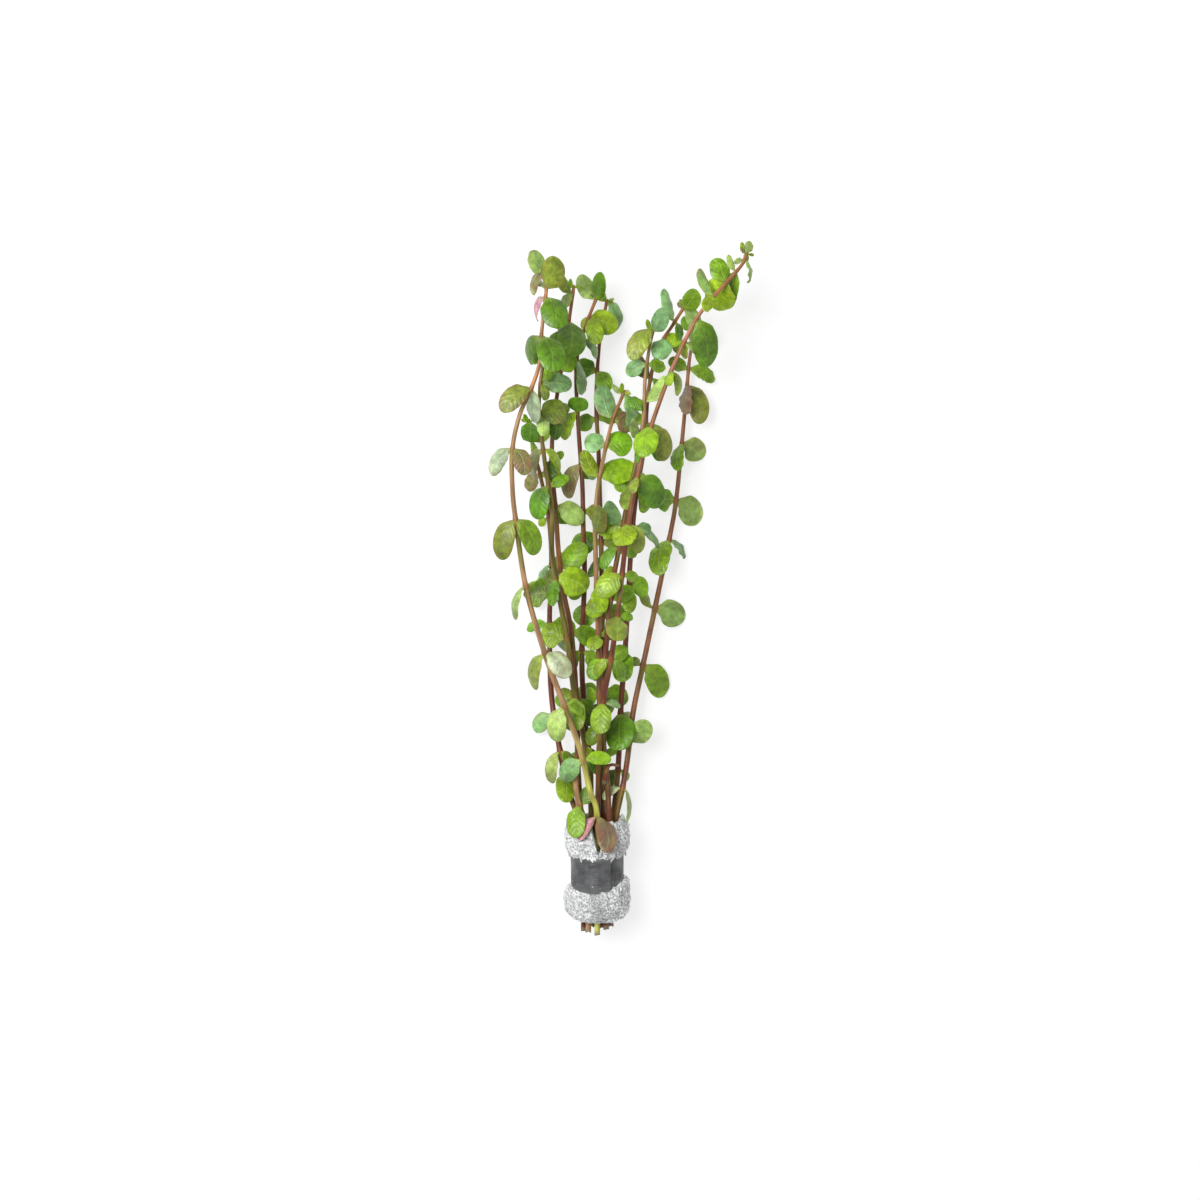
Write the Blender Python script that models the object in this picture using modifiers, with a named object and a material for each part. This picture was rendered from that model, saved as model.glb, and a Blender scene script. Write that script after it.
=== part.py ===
"""A bunch of rotala, an aquarium plant with round leaves in opposite pairs, lying on its back foliage.

The cut stems are held by a foam sleeve with a soft metal strip wound round it. +Y runs from the cut ends to the
tips, +Z is up, and the origin is on the flat that the sleeve rests on. Lengths in the tables are millimetres.
"""

import math
from itertools import product

import bmesh
import bpy
import numpy as np
from mathutils import Vector
from mathutils.bvhtree import BVHTree

MM = 0.001

# The sleeve and the strip round its waist
SLEEVE_AXIS_Z = 11.2
SLEEVE_OUTER = [
    (-9.0, 7.6), (-8.3, 9.0), (-6.6, 10.6), (-4.2, 11.6), (-1.4, 12.0), (0.5, 11.6), (1.3, 10.4), (1.8, 8.7),
    (3.4, 8.5), (15.2, 8.5), (16.0, 9.6), (17.4, 10.9), (20.0, 11.6), (24.0, 11.5), (26.4, 10.8), (27.5, 9.6),
]  # (y, radius) from the cut ends up
SLEEVE_BORE = [(27.5, 8.3), (24.0, 7.5), (18.0, 6.2), (13.0, 5.5), (3.0, 5.5), (-4.0, 6.2), (-9.0, 6.9)]
SLEEVE_STEPS = 24
TEST_STEPS = 20
BLOCK_SIZE = 80.0  # the block that cuts the sleeve flat below
NOTCH_TOP_Z = 25.0
NOTCH = [(0.9, 16.4), (3.4, 29.0), (-3.4, 29.0), (-0.9, 16.4)]  # (x, y) of the gap where the rolled foam meets in front
STRIP_TOP_Y = 15.0
STRIP_WIDTH = 10.1
STRIP_DIP = 2.6  # how far the lower edge hangs down at the front
STRIP_SKEW = 1.3  # and how far it climbs from the middle to the right
STRIP_THICK = 0.8
STRIP_RADIUS = 9.3
STRIP_LAP = 38.0  # degrees that the outer end runs on past a full turn
STRIP_END = 62.0  # where the outer end lies, in degrees from +X towards the top
LAP_RISE = 0.6  # the share of the lap that the strip climbs over its start in
STRIP_STEPS = 34

# The packed stems: places of their centres round the sleeve's axis, as (radius, degrees from +X towards the top)
INNER_RING = 1.42
OUTER_RING = 3.95
SPREAD_AT_CUT = 1.3
SPREAD = [(-6, 1.22), (4, 1.0), (11, 1.0), (20, 1.38), (27, 1.68)]  # (y, times as wide as packed)
STEM_RADIUS = 1.0
TIP_RADIUS = 0.55
TAPER_FROM = 60.0  # the y that a stem tapers from, later the higher the power
TAPER_POWER = 1.6
NODE_SWELL = 1.22
SLEEVE_STOPS = (-3, 7.5, 18, 27)  # the y of a stem's corners inside the sleeve
SAME_PLACE = 0.02
STEM_SIDES_RESOLUTION = 1
LONGEST_SPAN = 11.0  # a stem's straight spans are halved past this

LEAF_THICK = 0.4
LEAF_GAP = 0.3
SINGLE_LEAVES = 46  # the broadest leaves are pieces of their own
JOINED_LEAVES = 104  # the next broadest are joined to their stem, and the smallest have no solid
JOINED_REACH = 0.9  # how far across its half width a joined leaf's plain sheet reaches
ROOT_DEPTH = 0.6  # where a joined leaf starts inside its stem, as a share of the stem's radius
AREA_PRIORITY = 0.08  # how far a leaf's area, in square millimetres, counts with its height when leaves are placed
LEAST_WIDTH = 0.5  # a leaf is at least this wide for its length, and where it shows narrower it is turned
SEEN_SLACK = 1.06  # and at least this much wider than it shows
OUTLINE_SHIFT = 0.92  # the leaf's outline: how its widest place lies past the middle,
OUTLINE_FULL = 2.3  # how full its sides are,
OUTLINE_ROUND = 0.48  # and how round its ends are
LEAF_CURL = 0.14  # how far a leaf's tip hangs back, for its length
LEAF_DOME = 0.16  # how far its edges hang down, for its half width
LEAF_ARCH = 0.11  # how far a leaf bends sideways up and over, for its length
ARCH_TURN = 2.0  # which headings bend which way: none at 60 degrees from the stem's tip,
ARCH_ONSET = 3.0  # and how soon the bend sets in as a leaf turns off its stem's line
LIFT_ACROSS = -7.0  # degrees that a leaf rises towards +Z where it stands across its stem
LIFT_OVER = 23.0  # and how much more it rises where it covers the stem
SIDE_BASE = 0.75  # how far towards the stem's side a leaf that lies beside it is attached
FRONT_BASE = 1.1  # and how far towards its front a leaf that covers it is
COVER_POWER = 6  # how close to the stem's direction a leaf has to run to cover it
FLOOR_SOFT = 1.0
FLOOR_Z = 0.2
LOWEST_BLADE = -1.2

# Each stem: its place in the bundle, the y of its cut end, its route above the sleeve up to its tip, and its leaf
# pairs as (y of the pair, leaf, leaf). A leaf is (heading, length, width seen from above, tone), where heading 0
# points to the tips and 90 to the right, and some have a number of degrees that they are lifted by.
SHOOTS = {
    "front_left": {
        "slot": (OUTER_RING, 90),
        "cut": -14.2,
        "route": [
            (-0.5, 34.3, 20.4), (-2.6, 40.3, 22.2), (-4.9, 51.3, 24), (-7.7, 60.8, 26), (-11.2, 70.8, 27.5),
            (-18.5, 91.3, 30),
            (-25, 114.8, 32.5), (-28.6, 139.3, 34), (-29.7, 151.3, 34.8), (-29.6, 164.3, 35.3),
            (-27, 176.3, 35.8),
            (-23, 185.3, 36), (-20, 194.3, 36), (-19.4, 203.3, 36), (-18.6, 211.3, 35.5), (-17.6, 220.3, 35),
            (-18.2, 226.3, 34.5),
        ],
        "pairs": [
            (30.3, (208, 14.5, 3.6, "pink", 12), (157, 15.6, 6.6, "plum", 12)),
            (51.8, (222, 11.5, 7, "blue"), (88, 10.4, 4.7, "lime", 6)),
            (71.8, (195, 13, 7, "pale"), (120, 8, 3, "green")),
            (91.3, (196, 14.8, 4.6, "olive"), (136, 11.8, 7.5, "white")),
            (115.8, (203, 13, 2.6, "pale"), (157, 13, 9, "green", -26)),
            (139.3, (194, 14.8, 7.5, "olive"), (148, 14.4, 8, "green")),
            (164.3, (220, 12, 5.4, "white"), (152, 10.4, 6.4, "red")),
            (185.3, (232, 13, 7.4, "olive"), (188, 15, 5.6, "white", 4)),
            (203.3, (160, 14.5, 9.4, "dark"), (198, 14, 4.8, "dark")),
            (216.8, (165, 12.4, 9.2, "dark"), (204, 11.7, 2.6, "pink", -10)),
            (220.3, (13, 12.8, 8.4, "olive"), (338, 7.4, 3, "green", -14)),
            (225.8, (338, 8.4, 6.5, "pale"), (212, 10, 3.4, "red", -8)),
        ],
    },
    "mid_left": {
        "slot": (INNER_RING, 210),
        "cut": -12.5,
        "route": [
            (-3, 43.3, 11.5), (-5, 58.3, 13), (-8, 72.8, 15), (-11, 95.3, 17.5), (-15, 118.3, 19.5),
            (-16.2, 128.3, 20.5),
            (-16, 141.3, 21.5), (-17.3, 150.3, 22), (-19, 162.3, 22.6), (-20.4, 175.3, 23.2),
            (-20, 187.3, 23.8),
            (-17.6, 201.3, 24),
        ],
        "pairs": [
            (52.3, (150, 11, 7.5, "dark"), (20, 7.5, 2.2, "lime", 30)),
            (73.3, (184, 13.5, 8.5, "green", 8), (285, 6.5, 5, "olive")),
            (95.3, (275, 9.6, 9, "lime"), (197, 13, 5, "dark", -14)),
            (116.8, (110, 12, 10.6, "lime", 6), (188, 11, 4.5, "dark")),
            (150.3, (193, 12.5, 8, "dark", 8), (60, 8, 4, "green")),
            (163.3, (141, 12.5, 3, "lime"), (192, 13.5, 4.2, "red")),
            (175.3, (76, 10, 9, "olive"), (160, 9.2, 4.3, "pale")),
            (186.3, (92, 11.5, 6.8, "blue"), (160, 6.5, 3, "olive")),
            (194.3, (168, 7, 3, "green"), (300, 6, 4, "green")),
            (200.8, (70, 9, 6, "dark"), (250, 7, 5, "pale")),
        ],
    },
    "inner_left": {
        "slot": (OUTER_RING, 210),
        "cut": -11.5,
        "route": [
            (-7, 45.3, 8.5), (-7.6, 71.7, 10), (-9.4, 96.3, 12), (-12.5, 113.3, 13), (-14, 126.8, 13.6),
            (-15, 142.3, 14.4),
            (-16.2, 156.3, 15.2), (-15.8, 170.3, 15.8), (-14, 184.3, 16.4), (-11.5, 198.8, 17),
            (-9, 215.3, 17.5),
            (-8.2, 221.3, 17.8),
        ],
        "pairs": [
            (50.3, (215, 9, 6, "green"), (60, 9, 6, "green")),
            (71.7, (150, 11.5, 6.4, "green", 6), (255, 8, 6, "green")),
            (96.3, (112, 10.6, 7, "green"), (205, 8, 4, "green")),
            (120.3, (38, 12, 8.4, "green"), (190, 11, 6, "olive")),
            (142.3, (124, 11.4, 7.6, "pale"), (300, 8, 5, "green")),
            (159.3, (170, 8.5, 5, "dark"), (48, 5, 3, "lime")),
            (175.3, (173, 11, 4.2, "dark"), (35, 8, 5, "green")),
            (191.3, (30, 10, 6, "green"), (240, 9, 5, "green")),
            (208.3, (172, 16.8, 10, "dark", 8), (222, 5, 2.6, "red")),
            (218.3, (206, 7, 3.6, "pale"), (330, 9, 4, "olive")),
        ],
    },
    "centre": {
        "slot": (OUTER_RING, 250),
        "cut": -12,
        "route": [
            (-2.6, 47.3, 5.2), (-4.7, 65.3, 5.8), (-5.6, 87.3, 7), (-4.6, 116.3, 8.4), (-5, 133.3, 9.4),
            (-5.4, 151.3, 10.4),
            (-6.6, 168.3, 11.2), (-7.6, 190.3, 12.2), (-6.1, 200.3, 12.6), (-3.2, 209.3, 13), (0, 217.3, 13.4),
        ],
        "pairs": [
            (47.3, (152, 7.5, 5, "olive"), (290, 8, 5, "green")),
            (65.3, (240, 10, 7, "green"), (80, 9, 6, "green")),
            (89.3, (150, 13, 5.5, "green"), (200, 10, 4, "green")),
            (116.3, (15, 11, 4.6, "dark"), (200, 10, 6, "green")),
            (140.3, (110, 9, 6, "olive"), (250, 8, 4, "olive")),
            (157.3, (197, 13.4, 5.6, "red"), (140, 8, 4, "blue")),
            (176.3, (2, 7.5, 7, "dark"), (193, 11.4, 4.6, "lime")),
            (194.3, (165, 15, 2.8, "blue"), (260, 8, 6, "dark")),
            (202.3, (136, 9.6, 2.8, "blue"), (292, 8, 2.6, "pale")),
            (209.3, (108, 11.5, 8.4, "lime"), (165, 10, 6, "lime")),
            (216.3, (335, 10, 6.2, "pale"), (5, 11.6, 5, "dark")),
        ],
    },
    "underneath": {
        "slot": (OUTER_RING, 290),
        "cut": -10.8,
        "route": [
            (2.2, 45.3, 4), (2, 73.3, 3.4), (1.8, 101.3, 3.2), (1.5, 123.3, 3.2), (1, 143.3, 3.2),
            (0.4, 163.3, 3.3),
            (-0.4, 180.8, 3.6), (1, 202.3, 4.4), (3.6, 216.3, 5.4),
        ],
        "pairs": [
            (73.3, (120, 10, 8, "green"), (250, 10, 8, "green")),
            (101.3, (95, 11, 8, "green"), (265, 11, 8, "green")),
            (128.3, (100, 11, 8, "olive"), (260, 11, 8, "green")),
            (153.3, (80, 10, 7, "green"), (285, 8, 6, "green")),
            (173.3, (70, 10, 7, "green"), (240, 8, 6, "green")),
            (190.3, (160, 9, 6, "green"), (285, 9, 7, "dark")),
            (205.3, (50, 8, 6, "lime"), (300, 8, 6, "lime")),
            (215.3, (168, 11.3, 4.6, "blue"), (146, 11, 2.2, "pale")),
        ],
    },
    "middle": {
        "slot": (INNER_RING, 330),
        "cut": -13.3,
        "route": [
            (1.4, 51.3, 10.4), (0.7, 76.3, 10.8), (0.4, 95.8, 12), (-0.2, 112.3, 13.4), (-0.7, 134.3, 15.2),
            (0.1, 148.3, 16.4),
            (2.5, 161.3, 17.4), (5.4, 173.3, 18.2), (8.6, 181.3, 18.8), (9.8, 184.3, 19),
        ],
        "pairs": [
            (51.3, (70, 6, 3, "green"), (250, 8, 5, "green")),
            (73.3, (150, 8, 5, "green"), (240, 9, 6, "green")),
            (95.8, (100, 6, 4, "green"), (183, 8, 6.6, "lime", 8)),
            (113.3, (30, 9, 4, "lime"), (165, 11.5, 6, "lime")),
            (133.3, (5, 14.5, 5.6, "olive"), (82, 8, 7, "lime")),
            (153.3, (75, 13.6, 9, "lime"), (335, 10.6, 5.5, "lime")),
            (164.3, (283, 8.2, 7, "blue"), (84, 9.8, 9, "green")),
            (174.3, (352, 12.4, 7.4, "blue"), (122, 9.5, 7, "red")),
            (182.8, (176, 13, 4.6, "blue"), (320, 5, 2, "pale")),
        ],
    },
    "right_back": {
        "slot": (OUTER_RING, 50),
        "cut": -12.4,
        "route": [
            (3.6, 43.3, 15.8), (2.2, 58.3, 15.4), (2.5, 80.3, 15.6), (4, 101.3, 16.2), (5.8, 116.3, 16.8),
            (8.3, 130.3, 17.4),
            (10.8, 144.8, 18), (13.2, 155.8, 18.4), (15.4, 166.3, 18.7), (16.6, 177.3, 19), (17, 188.3, 19.2),
            (18.4, 198.8, 19.4), (20, 206.3, 19.6),
        ],
        "pairs": [
            (63.3, (200, 9, 5, "green"), (172, 10, 4.4, "green")),
            (87.3, (60, 9, 6, "green"), (215, 9, 6, "green")),
            (109.3, (230, 10, 7, "green"), (60, 9, 6, "green")),
            (127.8, (207, 10, 4, "dark"), (120, 7, 4, "green")),
            (136.3, (331, 11, 5.4, "blue"), (262, 8.6, 7, "lime")),
            (150.3, (196, 12, 4.4, "olive"), (40, 7, 4, "green")),
            (167.3, (342, 8.4, 3.4, "pale"), (190, 13, 2.6, "dark")),
            (180.3, (245, 5.5, 6, "dark"), (22, 11.5, 4.5, "pale")),
            (193.3, (241, 8, 5.6, "blue"), (104, 7, 4.6, "green")),
            (205.3, (212, 13.4, 7, "olive"), (18, 10, 6, "blue")),
        ],
    },
    "right_inner": {
        "slot": (OUTER_RING, 330),
        "cut": -11.2,
        "route": [
            (7.6, 45.3, 8), (8.6, 68.3, 9), (10.1, 89.3, 9.8), (11.2, 108.8, 10.6), (12.2, 126.8, 11.2),
            (14, 146.3, 12),
            (16.8, 163.3, 12.6), (18, 180.8, 13.2), (19.8, 191.8, 13.8), (23.4, 201.8, 14.4),
            (26.6, 206.8, 14.8),
            (31, 213.8, 15.2),
        ],
        "pairs": [
            (45.3, (203, 12, 6, "dark"), (150, 6, 3, "green")),
            (66.3, (189, 15.4, 10.4, "dark", 6), (172, 15.6, 4.6, "green", -10)),
            (89.3, (187, 13, 7.6, "green", 6), (176, 16, 3.6, "lime")),
            (111.8, (75, 7.5, 8, "green"), (177, 9, 5, "lime")),
            (134.8, (103, 7, 4.6, "blue"), (123, 13, 2.6, "blue")),
            (151.3, (250, 9, 6, "green"), (170, 12, 4, "green")),
            (172.3, (172, 14.6, 7, "dark"), (300, 9, 5, "green")),
            (188.3, (335, 9, 5, "plum"), (165, 9, 3.4, "dark")),
            (202.3, (182, 8.6, 7, "blue"), (100, 6.4, 5, "lime")),
            (208.3, (350, 12, 4, "blue"), (165, 7, 3, "dark")),
            (213.3, (28, 10, 6.5, "green"), (149, 9.6, 5.5, "pale")),
        ],
    },
    "front_right": {
        "slot": (INNER_RING, 90),
        "cut": -14.4,
        "route": [
            (0.4, 41.3, 16.5), (0.7, 55.3, 19), (2.2, 73.3, 21.5), (4.9, 88.3, 24), (7.4, 106.3, 26.2),
            (8.8, 119.3, 27.6),
            (11, 137.8, 29.4), (14, 153.8, 30.6), (19, 172.3, 31.6), (25.8, 191.3, 32.2), (30.2, 201.3, 32.4),
            (35.4, 210.8, 32.2), (40.6, 217.3, 32), (46, 223.3, 31.4), (50.4, 228.3, 30.6), (52.4, 232.8, 29.6),
        ],
        "pairs": [
            (72.3, (188, 12, 7.4, "green"), (98, 7, 2.4, "blue")),
            (88.3, (150, 9, 4, "green"), (225, 8, 4, "lime")),
            (104.3, (180, 10.6, 8, "olive"), (100, 6, 3, "green")),
            (119.3, (222, 11, 8, "lime"), (110, 6, 4, "green")),
            (137.3, (194, 10.2, 8.4, "lime", 6), (160, 10.8, 5.4, "olive")),
            (154.3, (146, 14, 9, "dark"), (198, 8, 3, "olive")),
            (171.8, (194, 13, 8.4, "lime", 6), (163, 13.6, 7, "olive")),
            (191.3, (196, 8, 2.6, "lime", 10), (160, 9.6, 3, "lime")),
            (201.3, (188, 8, 3, "olive"), (120, 8, 3, "pale")),
            (209.3, (172, 17.4, 9, "dark", 4), (190, 12.5, 2.6, "pale")),
            (217.3, (340, 10.5, 3.8, "pale"), (210, 8, 4, "lime")),
            (222.3, (345, 8.8, 7, "green"), (202, 14, 11.4, "lime", 4)),
            (225.8, (344, 6.2, 2.6, "pale"), (191, 13.4, 5, "green")),
            (229.8, (160, 8.8, 1.6, "pale"), (250, 4, 2, "pale")),
            (232.3, (5, 5, 3, "pale"), (190, 4, 2, "green")),
        ],
    },
    "right": {
        "slot": (OUTER_RING, 10),
        "cut": -12.2,
        "route": [
            (9.6, 41.3, 11.8), (11.2, 51.3, 10.4), (13.2, 67.3, 8), (16.6, 83.3, 6), (21, 104.3, 4.6),
            (26.1, 129.3, 4),
            (28.6, 143.8, 3.8), (30.6, 164.3, 3.8), (32.4, 185.3, 4.2), (33.4, 196.3, 5), (35.4, 206.3, 6),
        ],
        "pairs": [
            (39.3, (165, 13, 1.5, "pale", 10), (246, 8.6, 2.6, "white", 30)),
            (56.3, (32, 12, 7.6, "pale"), (290, 5, 3, "green")),
            (83.6, (150, 14.8, 8.6, "green"), (306, 5, 3.4, "pale")),
            (104.3, (118, 12, 9.4, "pale"), (345, 12, 3.4, "olive")),
            (129.3, (134, 9.6, 2.4, "blue"), (203, 16.5, 7, "green")),
            (143.8, (138, 12.6, 9.2, "pale"), (262, 8, 8, "green")),
            (164.3, (128, 9.6, 8.6, "pale"), (203, 12.6, 4, "green")),
            (185.3, (166, 15, 7.6, "olive"), (190, 14, 2.2, "plum")),
            (191.3, (113, 11, 5, "green"), (300, 8, 5, "green")),
            (199.3, (60, 8, 5, "green"), (260, 7, 5, "green")),
            (205.3, (115, 8, 4, "pale"), (330, 6, 5, "green")),
        ],
    },
    "back_left": {
        "slot": (OUTER_RING, 170),
        "cut": -13.7,
        "route": [
            (-10.4, 38.3, 11), (-13.4, 51.3, 8.6), (-16.8, 73.3, 5), (-17.4, 100.3, 3.8), (-16.6, 118.3, 3.6),
            (-17.6, 137.3, 3.6),
            (-20.4, 151.8, 3.7), (-23.2, 163.3, 4), (-24.6, 173.3, 4.6),
        ],
        "pairs": [
            (44.3, (174, 13, 7, "green", 8), (100, 5, 3, "dark")),
            (52.3, (184, 12.4, 4.4, "pale"), (150, 10, 4, "green")),
            (65.3, (226, 10, 6, "blue"), (110, 10, 7, "green")),
            (98.3, (262, 9.4, 3.6, "green"), (110, 10, 7, "green")),
            (109.3, (262, 9.8, 9.4, "green"), (70, 8, 5, "green")),
            (120.3, (197, 10, 2.4, "blue"), (70, 9, 6, "green")),
            (137.3, (225, 4.5, 3, "lime"), (90, 10, 6, "green")),
            (153.3, (215, 8, 5, "red"), (110, 9, 6, "green")),
            (165.3, (165, 8, 2.2, "lime"), (50, 8, 5, "green")),
            (172.3, (350, 7, 4, "green"), (174, 9.8, 6.4, "dark")),
        ],
    },
    "broken": {
        "slot": (OUTER_RING, 130),
        "cut": -13.6,
        "route": [(-7.2, 37.3, 18.5), (-8, 47.8, 19.5)],
        "pairs": [(34.3, (187, 12.6, 7, "green", 12), (20, 7, 5, "green"))],
    },
}

TONES = {
    "green": (0.19, 0.36, 0.012),
    "dark": (0.10, 0.235, 0.008),
    "lime": (0.27, 0.43, 0.012),
    "olive": (0.24, 0.30, 0.03),
    "pale": (0.34, 0.50, 0.12),
    "blue": (0.23, 0.42, 0.15),
    "white": (0.48, 0.58, 0.34),
    "red": (0.27, 0.27, 0.08),
    "plum": (0.25, 0.19, 0.11),
    "pink": (0.65, 0.28, 0.38),
}
STEM_COLOUR = (0.26, 0.12, 0.05)
FOAM_COLOUR = (0.60, 0.61, 0.62)
STRIP_COLOUR = (0.11, 0.11, 0.12)


def clear_scene():
    for old in list(bpy.data.objects):
        bpy.data.objects.remove(old, do_unlink=True)


def new_collection(name):
    made = bpy.data.collections.new(name)
    bpy.context.scene.collection.children.link(made)
    return made


def material(name, colour, roughness, metallic=0.0):
    made = bpy.data.materials.get(name)
    if made:
        return made
    made = bpy.data.materials.new(name)
    made.use_nodes = True
    shader = made.node_tree.nodes["Principled BSDF"]
    shader.inputs["Base Color"].default_value = (*colour, 1.0)
    shader.inputs["Roughness"].default_value = roughness
    shader.inputs["Metallic"].default_value = metallic
    return made


def add_object(name, data, collection, surface=None):
    made = bpy.data.objects.new(name, data)
    collection.objects.link(made)
    if surface:
        data.materials.append(surface)
    return made


def add_mesh(name, points_mm, faces, collection, surface=None):
    data = bpy.data.meshes.new(name)
    data.from_pydata([tuple(p) for p in np.asarray(points_mm) * MM], [], faces)
    return add_object(name, data, collection, surface)


# Routes


def smooth_line(points, steps=8):
    """A Catmull-Rom curve through the points: each span blends its two ends and the slopes to their neighbours."""
    p = np.array(points, float)
    p = np.vstack([2 * p[0] - p[1], p, 2 * p[-1] - p[-2]])
    t = np.linspace(0, 1, steps, endpoint=False)[:, None]
    spans = []
    for a, b, c, d in zip(p[:-3], p[1:-2], p[2:-1], p[3:]):
        spans.append(
            0.5 * (2 * b + (c - a) * t + (2 * a - 5 * b + 4 * c - d) * t**2 + (3 * b - a - 3 * c + d) * t**3)
        )
    return np.vstack([*spans, p[-2:-1]])


def in_bundle(slot, spread, y):
    """A stem's place where the bundle is spread to this many times its packed width."""
    radius, degrees = slot
    angle = math.radians(degrees)
    return (spread * radius * math.cos(angle), y, SLEEVE_AXIS_Z + spread * radius * math.sin(angle))


def stem_line(shoot):
    slot = shoot["slot"]
    held = [in_bundle(slot, spread, y) for y, spread in [(shoot["cut"], SPREAD_AT_CUT), *SPREAD]]
    return smooth_line(held + shoot["route"])


def at_height(line, y):
    """The point of a line at this y, and the line's direction there."""
    i = min(int(np.searchsorted(line[:, 1], y)), len(line) - 1)
    low, high = line[i - 1], line[i]
    share = min(1.0, (y - low[1]) / (high[1] - low[1]))
    along = high - low
    return low + share * along, along / np.linalg.norm(along)


def stem_radius(shoot, y):
    top = shoot["route"][-1][1]
    share = max(0.0, (y - TAPER_FROM) / (top - TAPER_FROM)) if top > TAPER_FROM else 0.0
    return STEM_RADIUS + (TIP_RADIUS - STEM_RADIUS) * share**TAPER_POWER


# Leaves


def off_floor(points):
    """Bends what would go through the surface flat along it: heights under FLOOR_SOFT die away towards FLOOR_Z."""
    low = FLOOR_Z + (FLOOR_SOFT - FLOOR_Z) * np.exp(np.minimum(points[:, 2] - FLOOR_SOFT, 0) / (FLOOR_SOFT - FLOOR_Z))
    return np.column_stack([points[:, :2], np.where(points[:, 2] > FLOOR_SOFT, points[:, 2], low)])


def towards(heading, lift):
    """The unit vector of a heading, raised by a lift."""
    h, e = math.radians(heading), math.radians(lift)
    return np.array([math.sin(h) * math.cos(e), math.cos(h) * math.cos(e), math.sin(e)])


def leaf_axes(along, turn):
    """Unit vectors to the right of the midrib and out of the upper face, for a leaf turned about its midrib."""
    flat = unit(np.array([along[1], -along[0], 0.0]))
    up = np.cross(flat, along)
    r = math.radians(turn)
    return along, flat * math.cos(r) + up * math.sin(r), up * math.cos(r) - flat * math.sin(r)


def half_width(t):
    """The outline of a round leaf, 0 at the base and the tip and 1 at its widest, a little past the middle."""
    return np.maximum(0.0, 1 - np.abs(2 * t**OUTLINE_SHIFT - 1) ** OUTLINE_FULL) ** OUTLINE_ROUND


def unit(vectors):
    return vectors / np.linalg.norm(vectors, axis=-1, keepdims=True)


def blade_points(leaf, t, v):
    """Points of the blade at t along the midrib and v across it: the midrib arches and then hangs, the blade domes."""
    along, side, _ = leaf["axes"]
    length, bend = leaf["length"], leaf["bend"]
    run = unit(along + np.outer(4 * bend * (1 - 2 * t), leaf["flat"]))
    across = unit(side - (run @ side)[:, None] * run)
    half = 0.5 * leaf["width"] * half_width(t)
    height = -LEAF_CURL * length * t**2 - LEAF_DOME * half * v**2
    middle = leaf["base"] + np.outer(t * length, along) + np.outer(4 * bend * length * t * (1 - t), leaf["flat"])
    return middle + (v * half)[:, None] * across + height[:, None] * np.cross(across, run)


def too_low(leaf):
    """Whether so much of a blade would be under the surface that it could not bend flat."""
    t = np.array([0.5, 0.5, 0.8, 0.8, 1.0])
    return blade_points(leaf, t, np.array([-1.0, 1.0, -1.0, 1.0, 0.0]))[:, 2].min() < LOWEST_BLADE


def plain_sheet(leaf):
    """The blade of a joined leaf as a base point, two rows of two points and a tip, with its faces."""
    t = np.concatenate([[0.0], np.repeat(JOINED_ROWS, 2), [1.0]])
    points = off_floor(blade_points(leaf, t, JOINED_REACH * np.array([0, -1, 1, -1, 1, 0])))
    return points, [(0, 2, 1), (1, 2, 4, 3), (3, 4, 5)]


def leaf_sheet(leaf, rows):
    """The blade as a base point, rows of three points and a tip, with its faces."""
    t = np.concatenate([[0.0], np.repeat(rows, 3), [1.0]])
    v = np.concatenate([[0.0], np.tile([-1.0, 0.0, 1.0], len(rows)), [0.0]])
    points = off_floor(blade_points(leaf, t, v))
    faces = [(0, 2, 1), (0, 3, 2)]
    for r in range(len(rows) - 1):
        a = 1 + 3 * r
        faces += [(a, a + 1, a + 4, a + 3), (a + 1, a + 2, a + 5, a + 4)]
    last = 1 + 3 * (len(rows) - 1)
    tip = last + 3
    return points, faces + [(last, last + 1, tip), (last + 1, last + 2, tip)]


SINGLE_ROWS = np.array([0.14, 0.48, 0.84])
JOINED_ROWS = np.array([0.22, 0.74])


SAME_CHANGE = (6, 14, 16, 0.07)  # a swing, a lift, a turn and a loss of size that count as equal changes


def mildness(change):
    swing, lift, turn, size = np.abs(np.subtract(change, (0, 0, 0, 1.0))) / SAME_CHANGE
    return swing + lift + turn + size


# Small changes to a leaf's heading, lift, turn and size, the mildest first, for leaves that would touch
CHANGES = sorted(
    product((0, 6, -6, 14, -14), (0, 8, -8, 16, -16, 26, -26, 38, -38), (0, 14, -14, 30), (1.0, 0.9, 0.78)),
    key=mildness,
)


def tree_of(points, faces):
    return BVHTree.FromPolygons([Vector(p) for p in points], faces)


def layers(leaf, half_thick):
    """The blade's two faces and its middle, as one mesh to test against others."""
    points, faces = leaf_sheet(leaf, SINGLE_ROWS)
    up = leaf["axes"][2]
    stack = np.vstack([points, points + up * half_thick, points - up * half_thick])
    n = len(points)
    return stack, faces + [tuple(i + n * k for i in f) for k in (1, 2) for f in faces]


def tube_mesh(line, radius_at, sides=6):
    """A closed strip of rings round a line, to test leaves against."""
    along = np.gradient(line, axis=0)
    along /= np.linalg.norm(along, axis=1)[:, None]
    side = np.cross(along, (0.0, 0.0, 1.0))
    side /= np.linalg.norm(side, axis=1)[:, None]
    top = np.cross(side, along)
    angle = np.arange(sides) * math.tau / sides
    radius = np.array([radius_at(y) for y in line[:, 1]])[:, None, None]
    ring = np.cos(angle)[None, :, None] * side[:, None] + np.sin(angle)[None, :, None] * top[:, None]
    points = (line[:, None] + radius * ring).reshape(-1, 3)
    faces = [
        (k * sides + i, k * sides + (i + 1) % sides, (k + 1) * sides + (i + 1) % sides, (k + 1) * sides + i)
        for k in range(len(line) - 1)
        for i in range(sides)
    ]
    return points, faces


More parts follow.
